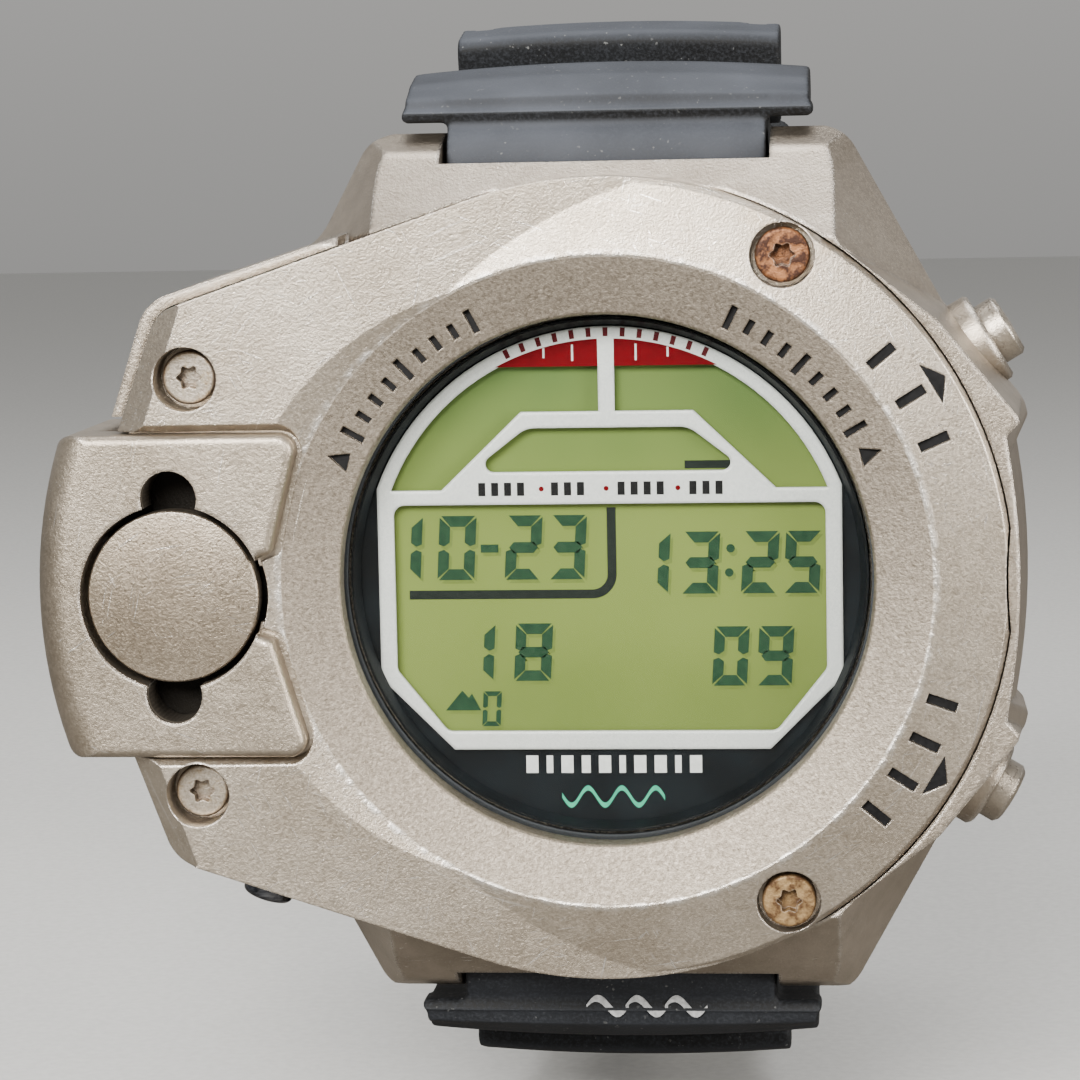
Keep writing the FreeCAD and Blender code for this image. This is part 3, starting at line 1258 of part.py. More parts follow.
def make_buckle(path):
    """Frame, pin and tang, drawn about the pin with y along the strap and z out of its outer face."""
    place = STAND.multiply(path.frame(mm("upper_length") + 2.0))
    inner, outer = mm("buckle_inner_half"), mm("buckle_outer_half")
    reach, bar = mm("buckle_reach"), mm("buckle_bar")
    frame = new_body("buckle_frame")
    plan = new_sketch(frame)
    inside = [(-inner, -1.7), (-inner, reach - bar, 1.2), (inner, reach - bar, 1.2), (inner, -1.7)]
    outside = [(outer, -1.7, 1.4), (outer, reach, 3.0), (-outer, reach, 3.0)]
    loop(plan, [(-outer, -1.7, 1.4)] + inside + outside)
    pad(frame, plan, "Sizes.buckle_thickness", both_ways=True)
    ends = new_sketch(frame, "YZ_Plane")
    circle(ends, "Sizes.pin_radius + 0.01", 0, 0)
    pocket(frame, ends, "2 * Sizes.buckle_outer_half - 1.0", both_ways=True)
    rest = new_sketch(frame, height="Sizes.buckle_thickness / 2")
    loop(rest, [(-1.5, reach - bar - 1), (1.5, reach - bar - 1), (1.5, reach - 0.6), (-1.5, reach - 0.6)])
    pocket(frame, rest, 0.6)
    keep("buckle_frame", frame, place)

    lying = Rotation(Vector(0, 1, 0), 90)
    length = 2 * outer - 1.1
    pin = rod("buckle_pin", "Sizes.pin_radius", length, Placement())
    keep("buckle_pin", pin, place.multiply(Placement(Vector(-length / 2, 0, 0), lying)))

    tang = new_body("buckle_tang")
    eye = new_sketch(tang, "YZ_Plane")
    circle(eye, "1.75")
    pad(tang, eye, 2.5, both_ways=True)
    shank = new_sketch(tang, "YZ_Plane")
    tip = reach - 0.8
    loop(shank, [(0, 0.35), (reach - bar + 0.2, 0.62), (tip, 0.62, 0.4), (tip, 1.75, 0.4), (0, 1.75)])
    pad(tang, shank, 2.5, both_ways=True)
    hole = new_sketch(tang, "YZ_Plane")
    circle(hole, "Sizes.pin_radius + 0.05")
    pocket(tang, hole, THROUGH, both_ways=True)
    keep("buckle_tang", tang, place)


def make_keeper(label, path, distance):
    """A rubber loop round the band, with room above it for the strap's free end."""
    body = new_body(label)
    half, wall, length = mm("band_width") / 2 + 0.35, mm("keeper_wall"), mm("keeper_length")
    low, high = -mm("band_thickness") / 2 - 0.3, mm("band_thickness") / 2 + 3.4
    section = new_sketch(body, "XZ_Plane")
    loop(section, [(-half, low, 0.6), (half, low, 0.6), (half, high, 1.2), (-half, high, 1.2)])
    low, high, half = low - wall, high + wall, half + wall
    loop(section, [(-half, low, 1.6), (half, low, 1.6), (half, high, 2.2), (-half, high, 2.2)])
    pad(body, section, length, both_ways=True)
    keep(label, body, STAND.multiply(path.frame(distance)))


# ------------------------------------------------------------------------------------------------ build

make_case_body()
make_back_cover()
make_top_cover()
make_screws()
make_window()
make_display()
make_module()
make_sensor_housing()
make_sensor()
make_water_contact()
for pusher, direction in (("upper", 1), ("lower", -1)):
    make_pusher(pusher, direction)
    make_spring_bar(pusher, direction)
bend, long_bend = mm("strap_bend"), mm("strap_long_bend")
upper_path = StrapPath(1, mm("upper_start_angle"), [(bend, mm("upper_length"))])
lower_arcs = [(bend, mm("lower_bend_length")), (long_bend, mm("lower_length"))]
lower_path = StrapPath(-1, mm("lower_start_angle"), lower_arcs)
make_upper_strap(upper_path)
make_lower_strap(lower_path)
make_buckle(upper_path)
for keeper, place_along in KEEPER_PLACES.items():
    make_keeper(keeper, upper_path, place_along)
doc.recompute()

failed = [o.Name for o in doc.Objects if "Invalid" in o.State or "Error" in o.State]
if failed:
    raise RuntimeError(f"these objects failed: {failed}")
for label, node in nodes.items():
    if node.Shape.isNull() or not node.Shape.isValid() or not node.Shape.Solids:
        raise RuntimeError(f"{label} is not a valid solid")
os.makedirs("parts", exist_ok=True)
for label, node in nodes.items():
    node.Shape.exportStep(f"parts/{label}.step")
print(f"{len(nodes)} nodes written")
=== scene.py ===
"""Looks of a wrist-watch dive computer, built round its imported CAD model.

Row frame: x to the right, z up, and the watch faces -y, in metres. Outlines and places are given in
millimetres in the watch's own frame, x to the right, y towards 12 o'clock and w out of the display,
and watch() takes them to the row frame.
"""
import math

import bmesh
import bpy
from mathutils import Matrix, Vector


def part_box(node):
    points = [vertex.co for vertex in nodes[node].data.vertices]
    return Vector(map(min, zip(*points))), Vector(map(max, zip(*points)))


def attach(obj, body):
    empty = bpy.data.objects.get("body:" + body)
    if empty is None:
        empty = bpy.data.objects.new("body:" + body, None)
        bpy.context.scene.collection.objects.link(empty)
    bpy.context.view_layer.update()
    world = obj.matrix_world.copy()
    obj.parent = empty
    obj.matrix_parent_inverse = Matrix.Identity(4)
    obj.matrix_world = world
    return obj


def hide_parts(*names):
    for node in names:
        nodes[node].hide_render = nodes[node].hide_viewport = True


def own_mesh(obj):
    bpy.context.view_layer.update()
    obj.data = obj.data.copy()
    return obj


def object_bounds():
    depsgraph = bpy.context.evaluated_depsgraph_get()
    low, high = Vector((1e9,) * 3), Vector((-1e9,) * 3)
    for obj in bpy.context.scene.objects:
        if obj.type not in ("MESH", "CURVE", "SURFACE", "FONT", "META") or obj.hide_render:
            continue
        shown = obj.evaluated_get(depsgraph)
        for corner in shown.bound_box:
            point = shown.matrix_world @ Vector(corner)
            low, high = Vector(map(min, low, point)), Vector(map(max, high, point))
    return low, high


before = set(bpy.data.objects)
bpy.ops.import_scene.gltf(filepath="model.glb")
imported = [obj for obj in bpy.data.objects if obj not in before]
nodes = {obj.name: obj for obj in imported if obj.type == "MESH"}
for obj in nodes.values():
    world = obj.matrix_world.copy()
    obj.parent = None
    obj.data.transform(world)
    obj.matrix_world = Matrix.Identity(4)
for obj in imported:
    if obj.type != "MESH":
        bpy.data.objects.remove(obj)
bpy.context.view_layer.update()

MM = 0.001

# heights (w) of the display's layers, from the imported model
LCD_TOP = -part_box("lcd_panel")[0].y / MM
PLATE_TOP = -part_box("dial_plate")[0].y / MM
MASK_TOP = -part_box("display_mask")[0].y / MM

# heights (w) of the floors of the cover's engravings and of the channel round the sensor housing
DISH_FLOOR = 15.08
RIM_FLOOR = 15.42
CHANNEL_FLOOR = 15.8

RIDGE_RADIUS = 19.8
SENSOR_PLACE = (-26.2, -0.45)
VENT_REACH, VENT_RADIUS = 6.0, 1.8
UPPER_RUSTY_SCREW = (10.9, 19.6)
LOWER_RUSTY_SCREW = (10.9, -19.6)
STAIN_PLACE, STAIN_REACH = (12.4, 21.4), 4.2
METALLIC = 0.95


def watch(x, y, w):
    """A point of the watch frame in millimetres, as a point of the row frame in metres."""
    return Vector((x, -w, y)) * MM


def polar(radius, degrees):
    """A point at a distance from the display's centre, at an angle from 3 o'clock."""
    angle = math.radians(degrees)
    return radius * math.cos(angle), radius * math.sin(angle)


def srgb(red, green, blue):
    """A colour given as 0-255 screen values, as the linear values that shaders use."""
    def linear(value):
        value /= 255
        return value / 12.92 if value <= 0.04045 else ((value + 0.055) / 1.055) ** 2.4
    return (linear(red), linear(green), linear(blue), 1.0)


# ------------------------------------------------------------------------------------------- shader tools


class Look:
    """A node material in the making. Texture places are in millimetres of the row frame at rest."""

    def __init__(self, name):
        self.material = bpy.data.materials.new(name)
        self.material.use_nodes = True
        self.tree = self.material.node_tree
        self.surface = self.tree.nodes["Principled BSDF"]
        raw = self.node("ShaderNodeTexCoord").outputs["Object"]
        self.place = self.vector("MULTIPLY", raw, (1 / MM, 1 / MM, 1 / MM))
        parts = self.node("ShaderNodeSeparateXYZ", {"Vector": self.place})
        self.x, self.depth, self.z = parts.outputs
        self.radius = self.math("SQRT", self.math("ADD", self.math("MULTIPLY", self.x, self.x),
                                                  self.math("MULTIPLY", self.z, self.z)))

    def node(self, kind, inputs=None, **settings):
        made = self.tree.nodes.new(kind)
        for key, value in settings.items():
            setattr(made, key, value)
        for key, value in (inputs or {}).items():
            self.feed(made.inputs[key], value)
        return made

    def feed(self, socket, value):
        if isinstance(value, bpy.types.NodeSocket):
            self.tree.links.new(value, socket)
        else:
            socket.default_value = value

    def math(self, operation, a, b=0.5, clamp=False):
        """One step of arithmetic between two values or sockets."""
        return self.node("ShaderNodeMath", {0: a, 1: b}, operation=operation, use_clamp=clamp).outputs[0]

    def vector(self, operation, a, b):
        return self.node("ShaderNodeVectorMath", {0: a, 1: b}, operation=operation).outputs[0]

    def noise(self, per_mm, detail=2.0, stretch=(1, 1, 1), turn=(0, 0, 0), seed=0.0, place=None,
              rough=0.5):
        """Noise with about per_mm cells to a millimetre, drawn out along an axis by a small stretch."""
        turned = self.node("ShaderNodeMapping", {"Vector": place or self.place})
        turned.inputs["Rotation"].default_value = [math.radians(a) for a in turn]
        scaled = self.node("ShaderNodeMapping", {"Vector": turned.outputs[0]})
        scaled.inputs["Scale"].default_value = stretch
        scaled.inputs["Location"].default_value = (seed * 7.3, seed * 3.1, seed * 5.7)
        made = self.node("ShaderNodeTexNoise", {"Vector": scaled.outputs[0], "Scale": per_mm,
                                                "Detail": detail, "Roughness": rough})
        return made.outputs["Fac"]

    def span(self, value, low, high, out_low=0.0, out_high=1.0):
        """value taken from low..high to out_low..out_high, and held at the ends."""
        made = self.node("ShaderNodeMapRange", {"Value": value, "From Min": low, "From Max": high,
                                                "To Min": out_low, "To Max": out_high}, clamp=True)
        return made.outputs[0]

    def mix(self, share, a, b):
        """Colour a, going over to colour b as share goes from 0 to 1."""
        made = self.node("ShaderNodeMix", data_type="RGBA")
        self.feed(made.inputs[0], share)
        self.feed(made.inputs[6], a)
        self.feed(made.inputs[7], b)
        return made.outputs[2]

    def bump(self, height, distance, strength=1.0, normal=None):
        """A surface raised by height times distance in millimetres."""
        inputs = {"Height": height, "Distance": distance * MM, "Strength": strength}
        if normal is not None:
            inputs["Normal"] = normal
        return self.node("ShaderNodeBump", inputs).outputs[0]

    def rounded(self, radius):
        """Normals with every edge rounded to a radius in millimetres."""
        return self.node("ShaderNodeBevel", {"Radius": radius * MM}, samples=4).outputs[0]

    def edges(self, rounded):
        """1 on sharp edges, 0 on open faces."""
        flat = self.node("ShaderNodeNewGeometry").outputs["Normal"]
        along = self.node("ShaderNodeVectorMath", {0: rounded, 1: flat}, operation="DOT_PRODUCT")
        return self.span(along.outputs["Value"], 0.995, 0.90)

    def crevice(self, reach):
        """1 in grooves and corners, 0 on open faces."""
        open_share = self.node("ShaderNodeAmbientOcclusion", {"Distance": reach * MM}, samples=4)
        return self.span(open_share.outputs["AO"], 0.85, 0.25)

    def near(self, x, z, reach):
        """1 at a place on the watch's face, 0 from reach millimetres away."""
        across = self.math("SUBTRACT", self.x, x)
        up = self.math("SUBTRACT", self.z, z)
        away = self.math("SQRT", self.math("ADD", self.math("MULTIPLY", across, across),
                                           self.math("MULTIPLY", up, up)))
        return self.span(away, 0.0, reach, 1.0, 0.0)

    def scratches(self, seed, angle, amount, width=9.0, length=0.16):
        """Fine straight scratches in one direction on the watch's face: 1 on a scratch."""
        lines = self.noise(1.0, 1.0, stretch=(length, width, width), turn=(0, angle, 0), seed=seed)
        patches = self.noise(0.22, 1.0, seed=seed + 4.0)
        drawn = self.span(lines, 0.70, 0.76)
        return self.math("MULTIPLY", drawn, self.span(patches, 0.62 - amount, 0.72 - amount))

    def finish(self, colour, rough, normal, metal=0.0, shine=0.5):
        """Joins everything to the surface. shine is the reflection of non-metals, 0.5 when ordinary."""
        self.feed(self.surface.inputs["Base Color"], colour)
        self.feed(self.surface.inputs["Roughness"], rough)
        self.feed(self.surface.inputs["Metallic"], metal)
        self.feed(self.surface.inputs["Normal"], normal)
        self.feed(self.surface.inputs["Specular IOR Level"], shine)
        return self.material


# ---------------------------------------------------------------------------------------------- materials


TITANIUM_WEAR = 0.6
TITANIUM_GRAIN = 0.035


def titanium(name, light, dark, rough=0.36, scratched=0.0, edge=0.3, dirt=0.8):
    """Bead-blasted titanium: fine grain, cloudy tone, polished edges, grime and painted shade in the
    corners, scratches.
    """
    look = Look(name)
    clouds = look.noise(0.13, 3.0, seed=1)
    patches = look.noise(0.9, 3.0, seed=2)
    speckle = look.noise(5.0, 2.0, seed=3)
    tone = look.math("ADD", look.math("MULTIPLY", clouds, 0.55), look.math("MULTIPLY", patches, 0.25))
    tone = look.math("ADD", tone, look.math("MULTIPLY", speckle, 0.2))
    colour = look.mix(look.span(tone, 0.38, 0.62), dark, light)
    rounded = look.rounded(edge)
    worn = look.math("MULTIPLY", look.edges(rounded), look.span(patches, 0.35, 0.6, 0.35, 1.0))
    bright = srgb(236, 232, 226)
    colour = look.mix(look.math("MULTIPLY", worn, TITANIUM_WEAR), colour, bright)
    # grime and painted shade: darker in grooves and corners, where an occlusion mask finds them
    grime_and_painted_shade = look.math("MULTIPLY", look.crevice(0.5), look.span(clouds, 0.3, 0.7, 0.4 * dirt, dirt))
    colour = look.mix(grime_and_painted_shade, colour, srgb(78, 70, 62))
    roughness = look.span(speckle, 0.3, 0.7, rough - 0.06, rough + 0.08)
    height = look.math("ADD", look.noise(5.5, 3.0, seed=5, rough=0.7), look.math("MULTIPLY", patches, 0.5))
    if scratched:
        marks = look.scratches(1, 35, scratched)
        for seed, angle in ((2, -20), (3, 78), (4, -62), (6, 8)):
            marks = look.math("MAXIMUM", marks, look.scratches(seed, angle, scratched))
        colour = look.mix(look.math("MULTIPLY", marks, 0.7), colour, bright)
        roughness = look.math("SUBTRACT", roughness, look.math("MULTIPLY", marks, 0.12))
    roughness = look.math("SUBTRACT", roughness, look.math("MULTIPLY", worn, 0.14), clamp=True)
    normal = look.bump(height, TITANIUM_GRAIN, 1.0, rounded)
    return look, colour, roughness, normal


def plain_titanium(name, light, dark, **settings):
    """Titanium with nothing more to it, for most of the metal pieces."""
    look, colour, roughness, normal = titanium(name, light, dark, **settings)
    return look.finish(colour, roughness, normal, metal=METALLIC)


def cover_titanium():
    """The top cover: a lighter, scratched outer face, a grainy darker dish, a painted highlight along the
    dinged ridge, and painted shade under the sensor housing.
    """
    look, colour, roughness, normal = titanium("cover_titanium", srgb(196, 186, 172), srgb(172, 161, 146),
                                               scratched=0.19, rough=0.36, edge=0.16, dirt=0.45)
    angle = look.math("ARCTAN2", look.z, look.x)
    rings = look.node("ShaderNodeCombineXYZ", {"X": look.math("MULTIPLY", angle, 2.2),
                                               "Y": look.math("MULTIPLY", look.radius, 5.0)}).outputs[0]
    arcs = look.span(look.noise(1.0, 1.0, place=rings, seed=8), 0.66, 0.74)
    arcs = look.math("MULTIPLY", arcs, look.span(look.noise(0.15, 1.0, seed=9), 0.5, 0.62))
    colour = look.mix(look.math("MULTIPLY", arcs, 0.4), colour, srgb(232, 228, 222))

    # the dish inside the ridge
    dish = look.span(look.radius, RIDGE_RADIUS - 0.12, RIDGE_RADIUS - 0.02, 1.0, 0.0)
    grains = look.noise(4.2, 3.0, seed=11, rough=0.7)
    dish_colour = look.mix(look.span(grains, 0.3, 0.7), srgb(126, 117, 105), srgb(174, 164, 151))
    colour = look.mix(dish, colour, dish_colour)

    # the ridge's crest: a bright line painted along it as a highlight, broken up by dings
    outer = look.span(look.radius, RIDGE_RADIUS - 0.15, RIDGE_RADIUS + 0.02)
    inner = look.span(look.radius, RIDGE_RADIUS + 0.05, RIDGE_RADIUS + 0.4, 1.0, 0.0)
    dings = look.span(look.noise(1.3, 3.0, seed=12), 0.44, 0.60, 0.12, 1.0)
    ridge_highlight_and_dings = look.math("MULTIPLY", look.math("MULTIPLY", outer, inner), dings)
    high = look.span(look.depth, -15.6, -15.85)
    ridge_highlight_and_dings = look.math("MULTIPLY", ridge_highlight_and_dings, high)
    colour = look.mix(look.math("MULTIPLY", ridge_highlight_and_dings, 0.8), colour, srgb(240, 237, 232))

    # the stain beside the upper rusty screw, and painted shade, near black, on the cover's floor under the
    # sensor housing
    blotches = look.span(look.noise(0.6, 3.0, seed=13), 0.4, 0.65)
    stain = look.math("MULTIPLY", look.near(*STAIN_PLACE, STAIN_REACH), blotches)
    colour = look.mix(look.math("MULTIPLY", stain, 0.55), colour, srgb(150, 118, 70))
    # painted shade: near black, not metallic and hardly shiny under the sensor housing
    under = look.math("MULTIPLY", look.near(*SENSOR_PLACE, 9.6), look.span(look.depth, -14.5, -14.2))
    under = look.span(under, 0.0, 0.05)
    colour = look.mix(look.math("MULTIPLY", under, 0.98), colour, srgb(9, 8, 7))

    roughness = look.math("ADD", roughness, look.math("MULTIPLY", dish, 0.14))
    metal = look.span(under, 0.0, 1.0, METALLIC, 0.0)
    grain_height = look.math("MULTIPLY", grains, dish)
    normal = look.bump(grain_height, 0.03, 0.8, normal)
    normal = look.bump(look.math("MULTIPLY", dings, ridge_highlight_and_dings), 0.04, 0.6, normal)
    return look.finish(colour, roughness, normal, metal, look.span(under, 0.0, 1.0, 0.5, 0.05))


def housing_finish():
    """The sensor housing: titanium with painted shade, near black, deep inside its two round vents."""
    look, colour, roughness, normal = titanium("housing_titanium", srgb(186, 175, 160), srgb(160, 149, 134),
                                               scratched=0.08, edge=0.3, dirt=0.4)
    x, z = SENSOR_PLACE
    vents = look.math("MAXIMUM", look.near(x, z + VENT_REACH, VENT_RADIUS),
                      look.near(x, z - VENT_REACH, VENT_RADIUS))
    # painted shade: near black, not metallic and hardly shiny deep inside the vents
    painted_vent_shade = look.math("MULTIPLY", look.span(vents, 0.0, 0.05), look.span(look.depth, -17.1, -16.7))
    colour = look.mix(look.math("MULTIPLY", painted_vent_shade, 0.97), colour, srgb(9, 8, 7))
    shine = look.span(painted_vent_shade, 0.0, 1.0, 0.5, 0.05)
    metal = look.span(painted_vent_shade, 0.0, 1.0, METALLIC, 0.0)
    return look.finish(colour, roughness, normal, metal, shine)


def screw_steel():
    """The cover's screw heads: rusty on the right, light with brown sockets on the left."""
    look = Look("rusty_screws")
    crust = look.noise(1.6, 4.0, seed=21, rough=0.65)
    fine = look.noise(7.0, 3.0, seed=22, rough=0.6)
    rounded = look.rounded(0.12)
    steel = look.mix(look.span(fine, 0.3, 0.7), srgb(150, 140, 126), srgb(196, 187, 174))
    steel = look.mix(look.span(crust, 0.50, 0.66, 0.0, 0.55), steel, srgb(142, 122, 88))
    coppery = look.mix(look.span(crust, 0.42, 0.58), srgb(156, 104, 66), srgb(60, 32, 18))
    golden = look.mix(look.span(crust, 0.40, 0.62), srgb(160, 132, 92), srgb(84, 58, 32))
    upper = look.near(*UPPER_RUSTY_SCREW, 3.5)
    lower = look.near(*LOWER_RUSTY_SCREW, 3.5)
    colour = look.mix(look.span(upper, 0.02, 0.05), steel, coppery)
    colour = look.mix(look.span(lower, 0.02, 0.05), colour, golden)
    left = look.span(look.x, -15.0, -10.0, 1.0, 0.0)
    socket = look.math("MAXIMUM", look.crevice(0.7), look.span(crust, 0.62, 0.7, 0.0, 0.5))
    depth_of_brown = look.math("ADD", 0.65, look.math("MULTIPLY", left, 0.1))
    colour = look.mix(look.math("MULTIPLY", socket, depth_of_brown), colour, srgb(82, 56, 38))
    worn = look.math("MULTIPLY", look.edges(rounded), look.span(fine, 0.35, 0.6, 0.2, 0.9))
    colour = look.mix(look.math("MULTIPLY", worn, 0.55), colour, srgb(232, 222, 208))
    rust = look.math("MAXIMUM", look.span(upper, 0.02, 0.05), look.span(lower, 0.02, 0.05))
    roughness = look.math("ADD", look.span(crust, 0.3, 0.7, 0.3, 0.5), look.math("MULTIPLY", rust, 0.1))
    height = look.math("ADD", look.math("MULTIPLY", crust, rust), look.math("MULTIPLY", fine, 0.3))
    metal = look.math("SUBTRACT", 0.85, look.math("MULTIPLY", rust, 0.35))
    return look.finish(colour, roughness, look.bump(height, 0.09, 0.8, rounded), metal)


def steel(name, light, dark, rough=0.28, edge=0.1, grain=0.004, brushed=(0.3, 5, 5), metal=0.95):
    """Machined or polished metal with fine drawn-out tool marks, small smudges and painted shade in its
    grooves and corners.
    """
    look = Look(name)
    lines = look.noise(1.6, 3.0, stretch=brushed, seed=31)
    smudges = look.noise(0.5, 3.0, seed=32)
    rounded = look.rounded(edge)
    colour = look.mix(look.span(look.math("ADD", lines, smudges), 0.8, 1.2), dark, light)
    # painted shade: darker in grooves and corners
    colour = look.mix(look.math("MULTIPLY", look.crevice(0.4), 0.6), colour, srgb(40, 36, 32))
    roughness = look.span(smudges, 0.3, 0.7, rough - 0.05, rough + 0.09)
    return look.finish(colour, roughness, look.bump(lines, grain, 1.0, rounded), metal)


def rubber(name, light, dark, dust=0.35, rough=0.62):
    """Moulded strap rubber: fine leathery grain, pale dust specks, rubbed edges and a painted sheen on the
    bend's crest.
    """
    look = Look(name)
    clouds = look.noise(0.18, 3.0, seed=41)
    grain = look.noise(5.0, 3.0, seed=42, rough=0.65)
    rounded = look.rounded(0.25)
    colour = look.mix(look.span(clouds, 0.35, 0.65), dark, light)
    # a painted sheen on the crest of the strap's bend, where the surface faces out from this line, stronger
    # towards the top
    middle = look.vector("SUBTRACT", look.place, (0.0, 19.0, 0.0))
    outwards = look.node("ShaderNodeVectorMath", {0: look.vector("MULTIPLY", middle, (0.0, 1.0, 1.0))},
                         operation="NORMALIZE").outputs[0]
    flat = look.node("ShaderNodeNewGeometry").outputs["Normal"]
    facing = look.node("ShaderNodeVectorMath", {0: outwards, 1: flat}, operation="DOT_PRODUCT")
    painted_crest_sheen = look.span(facing.outputs["Value"], 0.55, 0.97)
    painted_crest_sheen = look.math("MULTIPLY", painted_crest_sheen, look.span(clouds, 0.3, 0.7, 0.6, 0.9))
    # painted shade: the sheen is weaker lower down, where the lower strap is in shade
    painted_crest_sheen = look.math("MULTIPLY", painted_crest_sheen, look.span(look.z, -20.0, 20.0, 0.3, 1.0))
    colour = look.mix(painted_crest_sheen, colour, srgb(74, 78, 86))
    rubbed = look.math("MULTIPLY", look.edges(rounded), 0.3)
    colour = look.mix(rubbed, colour, srgb(104, 108, 114))
    specks = look.span(look.noise(3.4, 1.0, seed=43), 0.70, 0.76)
    thin = look.span(look.noise(0.35, 2.0, seed=44), 0.42, 0.65)
    dusty = look.math("MULTIPLY", look.math("MULTIPLY", specks, thin), dust)
    colour = look.mix(dusty, colour, srgb(158, 160, 158))
    film = look.math("MULTIPLY", look.span(grain, 0.45, 0.75), 0.22)
    colour = look.mix(film, colour, srgb(86, 90, 98))
    roughness = look.span(grain, 0.3, 0.7, rough - 0.08, rough + 0.12)
    height = look.math("ADD", grain, look.math("MULTIPLY", look.noise(1.2, 2.0, seed=45), 0.7))
    return look.finish(colour, roughness, look.bump(height, 0.035, 0.8, rounded), shine=0.22)


def plastic(name, light, dark, rough=0.45, grain=0.01, shine=0.5):
    """Moulded plastic or print: a fine texture, a slightly uneven tone and painted shade in its corners."""
    look = Look(name)
    clouds = look.noise(0.4, 3.0, seed=51)
    fine = look.noise(6.0, 2.0, seed=52)
    colour = look.mix(look.span(clouds, 0.35, 0.65), dark, light)
    # painted shade: darker in grooves and corners
    colour = look.mix(look.math("MULTIPLY", look.crevice(0.4), 0.4), colour, srgb(15, 15, 15))
    roughness = look.span(fine, 0.3, 0.7, rough - 0.06, rough + 0.08)
    return look.finish(colour, roughness, look.bump(fine, grain), shine=shine)


def mask_silver():
    """The display's silver frame: fine satin grain under a thin clear lacquer."""
    look = Look("mask_silver")
    fine = look.noise(9.0, 2.0, seed=61)
    rounded = look.rounded(0.3)
    broad = look.noise(0.12, 2.0, seed=62)
    colour = look.mix(look.span(fine, 0.3, 0.7), srgb(226, 229, 228), srgb(242, 244, 242))
    colour = look.mix(look.math("MULTIPLY", broad, 0.25), colour, srgb(165, 172, 178))
    roughness = look.span(fine, 0.3, 0.7, 0.34, 0.46)
    return look.finish(colour, roughness, look.bump(fine, 0.004, 1.0, rounded), metal=0.3)


def lcd_glass():
    """The liquid-crystal display: green at the top, yellower below, faint cell grid and clouding."""
    look = Look("lcd_display")
    height = look.span(look.z, 13.0, 3.0)
    green = srgb(85, 111, 59)
    yellow = srgb(116, 133, 63)
    colour = look.mix(height, green, yellow)
    low = look.span(look.z, -3.0, -10.0)
    colour = look.mix(low, colour, srgb(104, 120, 57))
    clouds = look.noise(0.10, 2.0, seed=71)
    colour = look.mix(look.span(clouds, 0.35, 0.65, 0.0, 0.35), colour, srgb(129, 144, 74))
    fine = look.noise(14.0, 1.0, seed=72)
    colour = look.mix(look.span(fine, 0.3, 0.7, 0.0, 0.08), colour, srgb(90, 110, 70))
    return look.finish(colour, look.span(fine, 0.3, 0.7, 0.42, 0.52), look.bump(fine, 0.002), shine=0.15)


def ink(name, colour, other, rough=0.5, shine=0.2):
    """Printed or filled paint with a slightly uneven tone and surface."""
    look = Look(name)
    uneven = look.noise(3.0, 3.0, seed=81)
    tone = look.mix(look.span(uneven, 0.3, 0.7), colour, other)
    roughness = look.span(uneven, 0.3, 0.7, rough - 0.08, rough + 0.1)
    return look.finish(tone, roughness, look.bump(uneven, 0.006), shine=shine)


def crystal_glass():
    """Mineral glass: clear, with reflections that grow at the rim, faint smears and a few hairlines."""
    look = Look("crystal_glass")
    smears = look.noise(0.16, 3.0, seed=91)
    hairs = look.scratches(7, 40, 0.03)
    tree = look.tree
    clear = look.node("ShaderNodeBsdfTransparent", {"Color": (0.965, 0.975, 0.97, 1)})
    roughness = look.span(smears, 0.4, 0.7, 0.03, 0.10)
    gloss = look.node("ShaderNodeBsdfGlossy", {"Color": (1, 1, 1, 1), "Roughness": roughness})
    share = look.node("ShaderNodeFresnel", {"IOR": 1.5}).outputs[0]
    hair_share = look.math("MULTIPLY", hairs, 0.06)
    share = look.math("ADD", look.math("MULTIPLY", share, 0.14), hair_share, clamp=True)
    both = look.node("ShaderNodeMixShader", {0: share, 1: clear.outputs[0], 2: gloss.outputs[0]})
    tree.links.new(both.outputs[0], tree.nodes["Material Output"].inputs["Surface"])
    return look.material


def floor_paper():
    """The pale studio floor, with a faint paper grain; what it throws back on the watch is darker."""
    look = Look("floor_paper")
    fibres = look.noise(1.5, 3.0, seed=95)
    colour = look.mix(look.span(fibres, 0.3, 0.7), srgb(206, 206, 204), srgb(216, 216, 214))
    seen = look.node("ShaderNodeLightPath").outputs["Is Camera Ray"]
    colour = look.mix(seen, srgb(112, 109, 104), colour)
    return look.finish(colour, 0.8, look.bump(fibres, 0.02))


BODY_LIGHT, BODY_DARK = srgb(188, 177, 163), srgb(162, 151, 137)
case_titanium = plain_titanium("case_titanium", BODY_LIGHT, BODY_DARK, scratched=0.04, edge=0.45)
bright_titanium = plain_titanium("button_titanium", srgb(196, 187, 174), srgb(166, 156, 143), rough=0.32,
                                 edge=0.2)
cap_titanium = plain_titanium("cap_titanium", srgb(176, 164, 148), srgb(148, 136, 120), rough=0.33,
                              scratched=0.12, edge=0.08)
housing_titanium = housing_finish()
channel_titanium = plain_titanium("channel_titanium", srgb(192, 182, 168), srgb(168, 157, 143),
                                  edge=0.2, dirt=0.15)
buckle_titanium = plain_titanium("buckle_titanium", srgb(192, 186, 178), srgb(164, 158, 150), rough=0.32,
                                 scratched=0.10, edge=0.35)
strap_rubber = rubber("strap_rubber", srgb(19, 21, 24), srgb(12, 13, 15))
seal_rubber = rubber("seal_rubber", srgb(34, 34, 35), srgb(22, 22, 23), dust=0.1)
black_print = plastic("black_print", srgb(24, 29, 33), srgb(15, 18, 21), rough=0.4, grain=0.001,
                      shine=0.1)
black_ink = ink("black_ink", srgb(8, 8, 10), srgb(18, 18, 20))
lcd_ink = ink("lcd_ink", srgb(24, 56, 36), srgb(34, 68, 44), rough=0.45)
